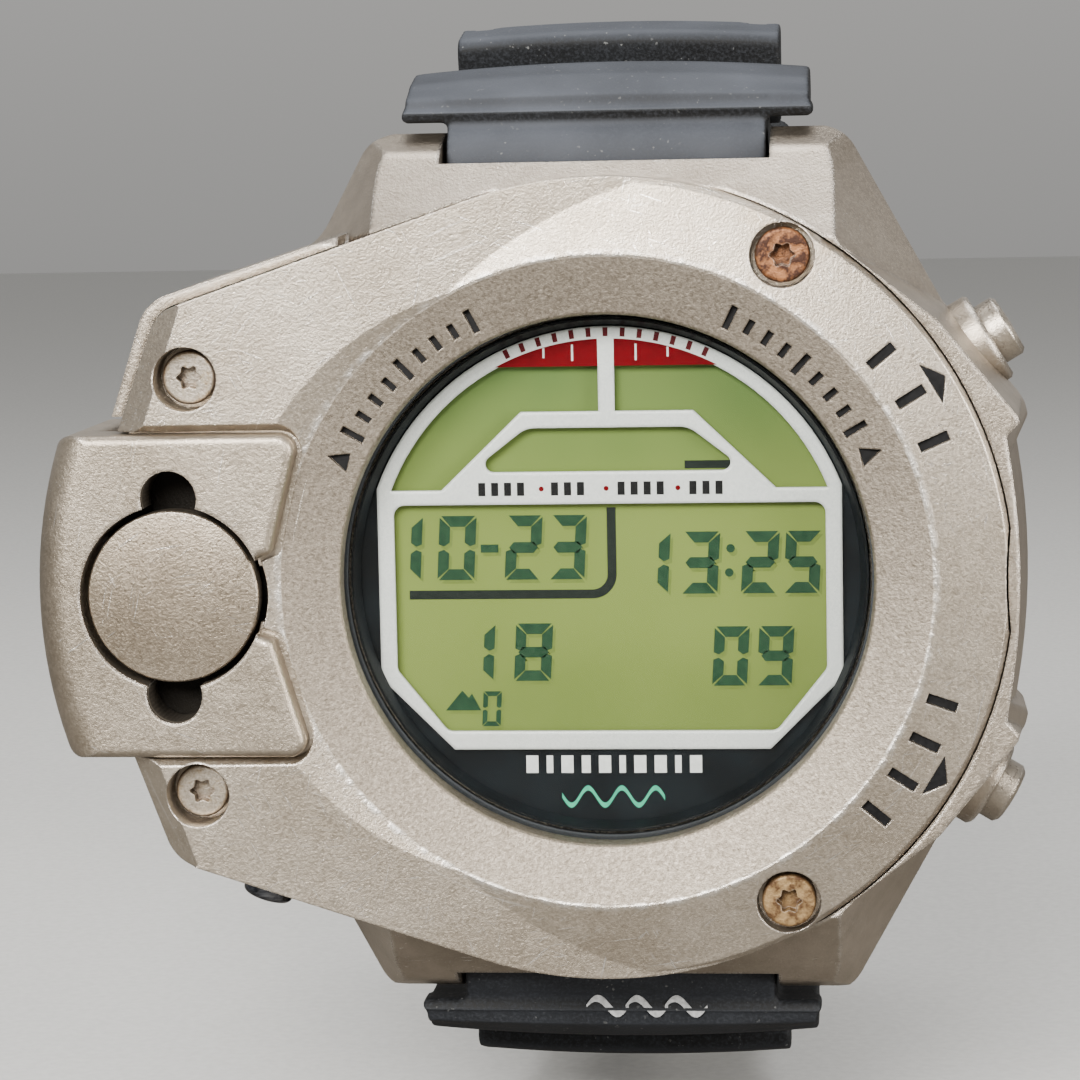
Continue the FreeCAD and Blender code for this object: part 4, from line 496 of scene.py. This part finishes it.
lcd_line = ink("lcd_line", srgb(18, 26, 22), srgb(24, 34, 28), rough=0.45)
lcd_shade = ink("lcd_shade", srgb(98, 114, 52), srgb(106, 122, 58), rough=0.45)
red_ink = ink("red_ink", srgb(112, 0, 13), srgb(98, 0, 10), shine=0.08)
dark_red_ink = ink("dark_red_ink", srgb(96, 10, 22), srgb(80, 8, 18))
white_ink = ink("white_ink", srgb(226, 228, 228), srgb(212, 214, 214))
teal_ink = ink("teal_ink", srgb(64, 190, 150), srgb(52, 168, 136))
silver_ink = ink("silver_ink", srgb(196, 198, 200), srgb(150, 152, 154), rough=0.35)

FINISHES = {
    "case_body": case_titanium,
    "back_cover": bright_titanium,
    "top_cover": cover_titanium(),
    "cover_screws": screw_steel(),
    "crystal": crystal_glass(),
    "window_ring": black_print,
    "dial_plate": black_print,
    "display_mask": mask_silver(),
    "lcd_panel": lcd_glass(),
    "sensor_housing": housing_titanium,
    "sensor_cap": cap_titanium,
    "pressure_sensor": steel("sensor_steel", srgb(150, 148, 144), srgb(112, 110, 106)),
    "water_contact": steel("contact_chrome", srgb(128, 130, 136), srgb(74, 76, 82), rough=0.14, metal=1.0),
    "contact_insulator": plastic("insulator_plastic", srgb(44, 44, 46), srgb(30, 30, 32)),
    "back_screws": steel("back_screw_steel", srgb(176, 172, 166), srgb(138, 134, 128)),
    "housing_screws": steel("housing_screw_steel", srgb(120, 112, 104), srgb(84, 76, 68)),
    "circuit_board": plastic("board_green", srgb(28, 88, 52), srgb(18, 66, 38)),
    "circuit_chips": plastic("chip_black", srgb(34, 34, 36), srgb(22, 22, 24)),
    "battery": steel("battery_steel", srgb(196, 196, 194), srgb(160, 160, 158), rough=0.22),
    "battery_clip": steel("clip_brass", srgb(204, 172, 96), srgb(160, 128, 62), rough=0.25),
    "piezo_buzzer": steel("buzzer_brass", srgb(206, 180, 110), srgb(168, 138, 74), rough=0.3),
    "module_frame": plastic("module_white", srgb(206, 204, 196), srgb(184, 182, 174)),
    "backlight_panel": plastic("backlight_white", srgb(224, 226, 220), srgb(206, 210, 202)),
    "zebra_connectors": plastic("connector_rubber", srgb(150, 92, 76), srgb(112, 66, 54)),
}
spring_steel = steel("spring_steel", srgb(170, 168, 164), srgb(120, 118, 114), rough=0.25)
BY_WORD = (
    ("seal", seal_rubber),
    ("gasket", seal_rubber),
    ("collar", case_titanium),
    ("buckle_pin", spring_steel),
    ("buckle", buckle_titanium),
    ("spring", spring_steel),
    ("clip", spring_steel),
    ("tip", spring_steel),
    ("retainer", spring_steel),
    ("leads", FINISHES["battery_clip"]),
    ("button", bright_titanium),
)
REPLACED = ("upper_strap", "lower_strap", "fixed_keeper", "sliding_keeper")


def finish_for(name):
    """A node's material: its own if it has one, otherwise by the first word that its name holds."""
    if name in FINISHES:
        return FINISHES[name]
    for word, material in BY_WORD:
        if word in name:
            return material
    raise RuntimeError(f"no finish for {name}")


for name, node in nodes.items():
    if name not in REPLACED:
        node.data.materials.clear()
        node.data.materials.append(finish_for(name))


# ------------------------------------------------------------------------------------------ mesh tools


def new_piece(name, mesh_data, material, body):
    """An object with this mesh and material that rides on a CAD body."""
    piece = bpy.data.objects.new(name, mesh_data)
    bpy.context.scene.collection.objects.link(piece)
    piece.data.materials.clear()
    piece.data.materials.append(material)
    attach(piece, body)
    return piece


def add_prism(bm, outline, low, high):
    """A closed prism between two heights w over an outline of (x, y) corners, in any turning sense."""
    area = sum(a[0] * b[1] - b[0] * a[1] for a, b in zip(outline, outline[1:] + outline[:1]))
    if area < 0:
        outline = outline[::-1]
    bottom = [bm.verts.new(watch(x, y, low)) for x, y in outline]
    top = [bm.verts.new(watch(x, y, high)) for x, y in outline]
    bm.faces.new(top)
    bm.faces.new(bottom[::-1])
    for i, corner in enumerate(bottom):
        following = (i + 1) % len(bottom)
        bm.faces.new((corner, bottom[following], top[following], top[i]))


def prisms(name, outlines, low, high, material, body="watch_case"):
    """One piece made of flat prisms, such as a row of printed marks."""
    bm = bmesh.new()
    for outline in outlines:
        add_prism(bm, list(outline), low, high)
    mesh = bpy.data.meshes.new(name)
    bm.to_mesh(mesh)
    bm.free()
    return new_piece(name, mesh, material, body)


def box_outline(x0, y0, x1, y1):
    """A rectangle from its lower left to its upper right corner."""
    return [(x0, y0), (x1, y0), (x1, y1), (x0, y1)]


def round_outline(x, y, radius, count=10):
    """A disc."""
    return [(x + px, y + py) for px, py in (polar(radius, 360 * i / count) for i in range(count))]


def bar_outline(radius, degrees, long_side, short_side):
    """A bar that points at the display's centre."""
    cx, cy = polar(radius, degrees)
    lx, ly = polar(long_side / 2, degrees)
    sx, sy = polar(short_side / 2, degrees + 90)
    turns = ((1, 1), (-1, 1), (-1, -1), (1, -1))
    return [(cx + a * lx + b * sx, cy + a * ly + b * sy) for a, b in turns]


# ------------------------------------------------------------------------------------------ the display

LIFT = 0.004  # of a print above its ground
PRINT = 0.02  # thickness of a print
SLANT = 0.06  # of the digits
LIT = {"0": "abcdef", "1": "bc", "2": "abged", "3": "abgcd", "4": "fgbc", "5": "afgcd", "6": "afgedc",
       "7": "abc", "8": "abcdefg", "9": "abfgcd"}


def seven_segment(x, y, width, height, digit, thick, gap=0.10):
    """The lit segments of one digit whose lower left corner is at x, y."""
    half, t, g = height / 2, thick, gap
    cut = t * 0.55
    low, high = g + t * 0.9, height - g - t * 0.9
    inner, outer = t * 0.35, t * 0.2
    segments = {
        "a": [(g, height), (width - g, height), (width - g - cut * 1.6, height - t),
              (g + cut * 1.6, height - t)],
        "d": [(g, 0), (g + cut * 1.6, t), (width - g - cut * 1.6, t), (width - g, 0)],
        "g": [(g + 0.1, half), (g + cut, half + t / 2), (width - g - cut, half + t / 2),
              (width - g - 0.1, half), (width - g - cut, half - t / 2), (g + cut, half - t / 2)],
        "f": [(0, height - g), (t, high), (t, half + g + inner), (t / 2, half + g), (0, half + g + outer)],
        "b": [(width, height - g), (width, half + g + outer), (width - t / 2, half + g),
              (width - t, half + g + inner), (width - t, high)],
        "e": [(0, g), (0, half - g - outer), (t / 2, half - g), (t, half - g - inner), (t, low)],
        "c": [(width, g), (width - t, low), (width - t, half - g - inner), (width - t / 2, half - g),
              (width, half - g - outer)],
    }
    return [[(x + px + SLANT * py, y + py) for px, py in segments[letter]] for letter in LIT[digit]]


def number_row(text, x, y, width, height, step, thick):
    """Digits side by side, step apart."""
    outlines = []
    for place, digit in enumerate(text):
        outlines += seven_segment(x + place * step, y, width, height, digit, thick)
    return outlines


def quarter_turn(x, y, radius):
    """Points of a quarter circle round x, y, from straight below to the right."""
    angles = [math.radians(9 * i) for i in range(11)]
    return [(x + radius * math.sin(a), y - radius * math.cos(a)) for a in angles]


def make_display():
    """The digits, signs and frame line of the liquid-crystal display, with their soft shadows."""
    big, small = 0.68, 0.66
    digits = seven_segment(-13.9, -0.35, 2.1, 4.0, "1", big)
    digits += seven_segment(-10.75, -0.35, 2.3, 4.0, "0", big)
    digits.append(box_outline(-8.0, 1.35, -6.9, 1.85))
    digits += number_row("23", -6.55, -0.35, 2.2, 4.0, 2.75, big)
    digits += seven_segment(1.45, -1.3, 2.1, 3.85, "1", big)
    digits += seven_segment(4.35, -1.3, 2.25, 3.85, "3", big)
    digits.append(round_outline(7.35, 0.0, 0.27))
    digits.append(round_outline(7.45, 1.5, 0.27))
    digits += number_row("25", 8.05, -1.3, 2.2, 3.85, 2.6, big)
    digits += number_row("18", -9.7, -6.7, 2.3, 3.6, 3.6, small)
    digits += number_row("09", 6.2, -7.05, 2.15, 3.7, 2.75, small)
    digits += seven_segment(-8.15, -9.55, 1.15, 2.2, "0", thick=0.3, gap=0.05)
    mountain = [(-10.4, -8.55), (-9.35, -7.3), (-8.95, -7.75), (-8.75, -7.5), (-8.2, -8.55)]
    digits.append(mountain)

    turn_x, turn_y, line_inner, line_outer = -1.1, -0.05, 0.95, 1.5
    lines = [
        box_outline(-12.5, turn_y - line_outer, turn_x, turn_y - line_inner),
        quarter_turn(turn_x, turn_y, line_outer) + quarter_turn(turn_x, turn_y, line_inner)[::-1],
        box_outline(turn_x + line_inner, turn_y, turn_x + line_outer, 4.1),
        box_outline(4.7, 6.47, 7.9, 6.95),
    ]
    shade = [[(x + 0.16, y - 0.22) for x, y in outline] for outline in digits]
    low = LCD_TOP + LIFT
    prisms("lcd_shadows", shade, low, low + 0.01, lcd_shade)
    prisms("lcd_segments", digits, low + 0.012, low + 0.03, lcd_ink)
    prisms("lcd_lines", lines, low + 0.012, low + 0.03, lcd_line)


def make_mask_print():
    """Everything printed on the silver frame: the red warning arcs, their ticks, and small marks."""
    low = MASK_TOP + LIFT
    top, outer = 12.87, 14.55
    first = 2.0
    limit = math.degrees(math.acos(top / outer))
    steps = 14
    for side, name in ((1, "right"), (-1, "left")):
        angles = [90 - side * (first + (limit - first) * i / steps) for i in range(steps + 1)]
        outline = [polar(outer, angle) for angle in angles] + [(side * 0.5, top)]
        prisms(f"warning_{name}", [outline], low, low + PRINT, red_ink)
    ticks = [box_outline(x - 0.06, 13.7 - size / 2, x + 0.06, 13.7 + size / 2)
             for x, size in ((-3.8, 0.6), (-2.04, 1.0), (1.85, 1.0), (3.8, 0.6))]
    prisms("warning_ticks", ticks, low + PRINT + LIFT, low + 2 * PRINT, white_ink)
    arc_ticks = [bar_outline(14.96, angle, 0.55, 0.3) for angle in range(66, 116, 4)]
    prisms("arc_ticks", arc_ticks, low, low + PRINT, dark_red_ink)
    spots = [round_outline(x, 5.35, 0.16) for x in (-4.1, -0.1, 4.3)]
    prisms("mode_dots", spots, low, low + PRINT, red_ink)
    step = 0.8
    bars = []
    for x0, x1 in ((-8.0, -4.7), (-3.5, -0.7), (0.6, 3.6), (5.0, 7.6)):
        for i in range(round((x1 - x0) / step)):
            bars.append(box_outline(x0 + step * i, 4.94, x0 + step * i + 0.44, 5.76))
    prisms("mode_bars", bars, low, low + PRINT, black_ink)


def wave_outline(x0, y0, length, height, wavelength, half_thick, count):
    """A thin sine wave from x0, as a closed outline."""
    middle = []
    for i in range(count + 1):
        x = x0 + length * i / count
        middle.append((x, y0 + height * math.sin(x * 2 * math.pi / wavelength)))
    return [(x, y + half_thick) for x, y in middle] + [(x, y - half_thick) for x, y in middle[::-1]]


def make_surround_print():
    """White bars and a teal wave on the dark surround under the display."""
    low = PLATE_TOP + LIFT
    gap = 0.52
    bars = []
    x = -5.4
    for width in (0.75, 0.4, 0.75, 0.55, 0.75, 0.4, 0.75, 0.75, 0.4, 0.75):
        bars.append(box_outline(x, -12.45, x + width, -11.35))
        x += width + gap
    prisms("surround_bars", bars, low, low + PRINT, white_ink)
    wave = wave_outline(-3.2, -13.95, 6.4, 0.55, 2.1, 0.16, 48)
    prisms("surround_wave", [wave], low, low + PRINT, teal_ink)


def make_engraved_fill():
    """Black paint in the engraved scales, bars and arrows of the cover."""
    dish, rim = [], []
    for side in (1, -1):
        for step in range(9):
            length = 1.44 if step % 4 == 0 else 0.89
            dish.append(bar_outline(17.7, 90 - side * (26.0 + 4.1 * step), length, 0.36))
        tip = [(17.3, 27.4), (18.4, 25.4), (17.1, 23.9)]
        dish.append([polar(r, a if side > 0 else 180 - a) for r, a in tip])
    for angles, centre in (((23.0, 31.0, 39.0), 31.0), ((-20.0, -27.0, -34.0, -41.0), -31.0)):
        rim += [bar_outline(21.5, degrees, 1.84, 0.56) for degrees in angles]
        rim.append([polar(22.98, centre - 3.2), polar(22.98, centre + 3.2), polar(23.88, centre)])
    prisms("dish_paint", dish, DISH_FLOOR + 0.002, DISH_FLOOR + 0.05, black_ink)
    prisms("rim_paint", rim, RIM_FLOOR + 0.002, RIM_FLOOR + 0.08, black_ink)


def make_channel():
    """The shallow rounded channel between the sensor housing and the cover, one bent band on each side."""
    cx, cy = SENSOR_PLACE
    underside = 14.9
    outer = [(-2.6, 10.3), (7.3, 10.3), (8.4, 9.8), (8.75, 8.9), (7.0, 2.0), (5.2, 1.7)]
    inner = [(4.95, 2.7), (6.1, 3.2), (7.5, 8.6), (7.2, 9.2), (-2.6, 9.2)]
    bands = [[(cx + x, cy + side * y) for x, y in outer + inner] for side in (1, -1)]
    prisms("housing_channel", bands, underside, CHANNEL_FLOOR, channel_titanium)


make_display()
make_mask_print()
make_surround_print()
make_engraved_fill()
make_channel()


# ------------------------------------------------------------------------------------------------ strap

def add_block(bm, profile, half_width, columns=24):
    """A solid across the strap whose profile is a loop of (y, w) corners."""
    rows = []
    for i in range(columns + 1):
        x = -half_width + 2 * half_width * i / columns
        rows.append([bm.verts.new(watch(x, y, w)) for y, w in profile])
    count = len(profile)
    for left, right in zip(rows, rows[1:]):
        for j in range(count):
            bm.faces.new((left[j], left[(j + 1) % count], right[(j + 1) % count], right[j]))
    bm.faces.new(rows[0][::-1])
    bm.faces.new(rows[-1])


def evaluated(mesh_object, *modifiers):
    """The object's mesh with modifiers, given as (type, settings), applied one after the other."""
    for kind, settings in modifiers:
        modifier = mesh_object.modifiers.new(kind.lower(), kind)
        for key, value in settings.items():
            setattr(modifier, key, value)
    bpy.context.view_layer.update()
    graph = bpy.context.evaluated_depsgraph_get()
    made = bpy.data.meshes.new_from_object(mesh_object.evaluated_get(graph))
    mesh_object.modifiers.clear()
    return made


def soft_solid(node, extras, voxel):
    """A CAD node's solid with extra blocks joined on, as one object skinned anew."""
    bm = bmesh.new()
    bm.from_mesh(nodes[node].data)
    bmesh.ops.remove_doubles(bm, verts=bm.verts[:], dist=1e-6)
    for profile, half_width in extras:
        add_block(bm, profile, half_width)
    bmesh.ops.recalc_face_normals(bm, faces=bm.faces[:])
    mesh = bpy.data.meshes.new(node + "_solid")
    bm.to_mesh(mesh)
    bm.free()
    solid = bpy.data.objects.new(node + "_solid", mesh)
    bpy.context.scene.collection.objects.link(solid)
    solid.data = evaluated(solid, ("REMESH", {"mode": "VOXEL", "voxel_size": voxel * MM}))
    return solid


def moulded(name, node, body, extras=(), voxel=0.18, crown=0.0):
    """A soft moulding in place of a CAD node. Its ribs drop by crown towards their ends, in millimetres."""
    solid = soft_solid(node, extras, voxel)
    mesh = evaluated(solid, ("SMOOTH", {"factor": 0.5, "iterations": 5}))
    bpy.data.objects.remove(solid)
    crown_start, crown_full, half_width = 28.8, 1.5, 12.3
    for vertex in mesh.vertices:
        proud = min(max((abs(vertex.co.z) / MM - crown_start) / crown_full, 0.0), 1.0)
        drop = crown * MM * proud * (vertex.co.x / (half_width * MM)) ** 2
        vertex.co.z -= math.copysign(drop, vertex.co.z)
    mesh.shade_smooth()
    piece = new_piece(name, mesh, strap_rubber, body)
    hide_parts(node)


LIP = [(27.8, 7.9), (28.4, 8.2), (28.6, 5.5), (28.0, 5.3)]
LIP_HALF_WIDTH = 12.75
for side, name in ((1, "upper"), (-1, "lower")):
    lip = [(side * y, w) for y, w in LIP]
    moulded(f"{name}_strap_rubber", f"{name}_strap", f"{name}_band", [(lip, LIP_HALF_WIDTH)], voxel=0.2,
            crown=0.55)
moulded("fixed_keeper_rubber", "fixed_keeper", "upper_band")
moulded("sliding_keeper_rubber", "sliding_keeper", "loose_loop")


def make_strap_mark():
    """Three small silver wavelets on the front of the lower strap's neck, thickest in their middles."""
    length, steps = 2.7, 16
    outlines = []
    for start in (-2.2, 0.3, 2.8):
        upper, lower = [], []
        for i in range(steps + 1):
            x = start + length * i / steps
            y = -28.15 + 0.5 * math.sin(2 * math.pi * i / steps)
            thick = 0.08 + 0.2 * math.sin(math.pi * i / steps)
            upper.append((x, y + thick))
            lower.append((x, y - thick))
        outlines.append(upper + lower[::-1])
    prisms("strap_wavelets", outlines, 7.8, 8.13, silver_ink, body="lower_band")


make_strap_mark()


# ---------------------------------------------------------------------------------------------- springs

PUSHER_ANGLE = 31.0


def squashing_spring(node, joint, direction, halved=False):
    """A spring, or its outer half, as a piece of its own that rides on the case, named after the joint that
    moves against it.
    """
    bm = bmesh.new()
    bm.from_mesh(nodes[node].data)
    if halved:
        geometry = bm.verts[:] + bm.edges[:] + bm.faces[:]
        bmesh.ops.bisect_plane(bm, geom=geometry, plane_co=(0, 0, 0), plane_no=direction, clear_inner=True)
        bmesh.ops.holes_fill(bm, edges=[edge for edge in bm.edges if edge.is_boundary])
    mesh = bpy.data.meshes.new(f"{joint}_coil")
    bm.to_mesh(mesh)
    bm.free()
    mesh.shade_smooth()
    piece = new_piece(f"{joint}_coil", mesh, spring_steel, "watch_case")
    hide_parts(node)
    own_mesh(piece)


for side, name in ((1, "upper"), (-1, "lower")):
    across, up = polar(1.0, side * PUSHER_ANGLE)
    squashing_spring(f"{name}_button_spring", f"{name}_push", Vector((across, 0, up)))
    for end, end_name in ((1, "right"), (-1, "left")):
        squashing_spring(f"{name}_bar_spring", f"{name}_{end_name}_plunger_slide", Vector((end, 0, 0)),
                         halved=True)


# ------------------------------------------------------------------------------------------------ stage

AZIMUTH, ELEVATION, ROLL = math.radians(5.5), math.radians(7.0), math.radians(1.15)
DISTANCE, VIEW_WIDTH = 200.0, 65.2
OFFSET_RIGHT, OFFSET_DOWN = 3.9, 2.62
FACE_HEIGHT = 15.5
SENSOR_WIDTH = 36.0


def make_camera():
    """The camera, from slightly above and to the right, close enough for its perspective to show."""
    back = Vector((math.sin(AZIMUTH) * math.cos(ELEVATION), -math.cos(AZIMUTH) * math.cos(ELEVATION),
                   math.sin(ELEVATION)))
    level_right = Vector((math.cos(AZIMUTH), math.sin(AZIMUTH), 0))
    level_up = back.cross(level_right)
    right = level_right * math.cos(ROLL) - level_up * math.sin(ROLL)
    up = level_up * math.cos(ROLL) + level_right * math.sin(ROLL)
    aim = watch(0, 0, FACE_HEIGHT) - right * OFFSET_RIGHT * MM + up * OFFSET_DOWN * MM
    data = bpy.data.cameras.new("camera")
    camera = bpy.data.objects.new("camera", data)
    bpy.context.scene.collection.objects.link(camera)
    data.sensor_width = SENSOR_WIDTH
    data.lens = SENSOR_WIDTH * DISTANCE / VIEW_WIDTH
    data.clip_start = 0.01
    turned = Matrix((right, up, back)).transposed().to_4x4()
    camera.matrix_world = Matrix.Translation(aim + back * DISTANCE * MM) @ turned
    bpy.context.scene.camera = camera


def area_light(name, place, size, power, colour=(1, 1, 1)):
    """A soft rectangular light that points at the middle of the watch."""
    data = bpy.data.lights.new(name, "AREA")
    data.shape = "RECTANGLE"
    data.size, data.size_y = size
    data.energy = power
    data.color = colour
    light = bpy.data.objects.new(name, data)
    bpy.context.scene.collection.objects.link(light)
    place = Vector(place)
    turned = (-place).to_track_quat("-Z", "Y").to_matrix().to_4x4()
    light.matrix_world = Matrix.Translation(place) @ turned


STRAP_PIVOT = Vector((0, -5.0 * MM, -24.9 * MM))
STRAP_SWING = math.radians(12)


def lowest_swing():
    """How low the lower strap comes, in metres, when it swings out to its joint's limit."""
    down, out = math.cos(STRAP_SWING), math.sin(STRAP_SWING)
    arms = [vertex.co - STRAP_PIVOT for vertex in nodes["lower_strap"].data.vertices]
    return STRAP_PIVOT.z + min(arm.z * down - arm.y * out for arm in arms)


def make_floor():
    """The floor, low enough that the swinging lower strap stays above it."""
    gap, half_width = 0.0002, 1.5
    level = min(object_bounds()[0][2], lowest_swing()) - gap
    bm = bmesh.new()
    bmesh.ops.create_grid(bm, x_segments=8, y_segments=8, size=half_width)
    mesh = bpy.data.meshes.new("floor")
    bm.to_mesh(mesh)
    bm.free()
    floor = bpy.data.objects.new("floor", mesh)
    bpy.context.scene.collection.objects.link(floor)
    floor.location = (0, 0, level)
    mesh.materials.append(floor_paper())


# brightness of the room from straight below (0) to straight above (1)
ROOM = ((0.36, 0.20), (0.50, 0.58), (0.62, 0.95), (0.80, 0.60), (1.0, 0.42))
ROOM_STRENGTH = 0.62


def make_world():
    """A neutral room, brightest a little above the horizon."""
    world = bpy.data.worlds.new("studio")
    bpy.context.scene.world = world
    world.use_nodes = True
    tree = world.node_tree
    background = tree.nodes["Background"]
    place = tree.nodes.new("ShaderNodeTexCoord")
    parts = tree.nodes.new("ShaderNodeSeparateXYZ")
    ramp = tree.nodes.new("ShaderNodeValToRGB")
    for number, (position, level) in enumerate(ROOM):
        if number < 2:
            stop = ramp.color_ramp.elements[number]
            stop.position = position
        else:
            stop = ramp.color_ramp.elements.new(position)
        stop.color = (level, level * 0.985, level * 0.96, 1)
    shift = tree.nodes.new("ShaderNodeMapRange")
    shift.inputs["From Min"].default_value = -1.0
    tree.links.new(place.outputs["Generated"], parts.inputs[0])
    tree.links.new(parts.outputs["Z"], shift.inputs["Value"])
    tree.links.new(shift.outputs[0], ramp.inputs["Fac"])
    tree.links.new(ramp.outputs["Color"], background.inputs["Color"])
    background.inputs["Strength"].default_value = ROOM_STRENGTH


make_floor()
make_world()
make_camera()
area_light("key", (-0.12, -0.40, 0.20), (0.30, 0.14), 4.4, (1.0, 0.97, 0.92))
area_light("fill", (0.36, -0.24, 0.06), (0.16, 0.26), 2.0, (1.0, 0.95, 0.88))
area_light("top", (0.02, 0.06, 0.42), (0.30, 0.16), 1.35)
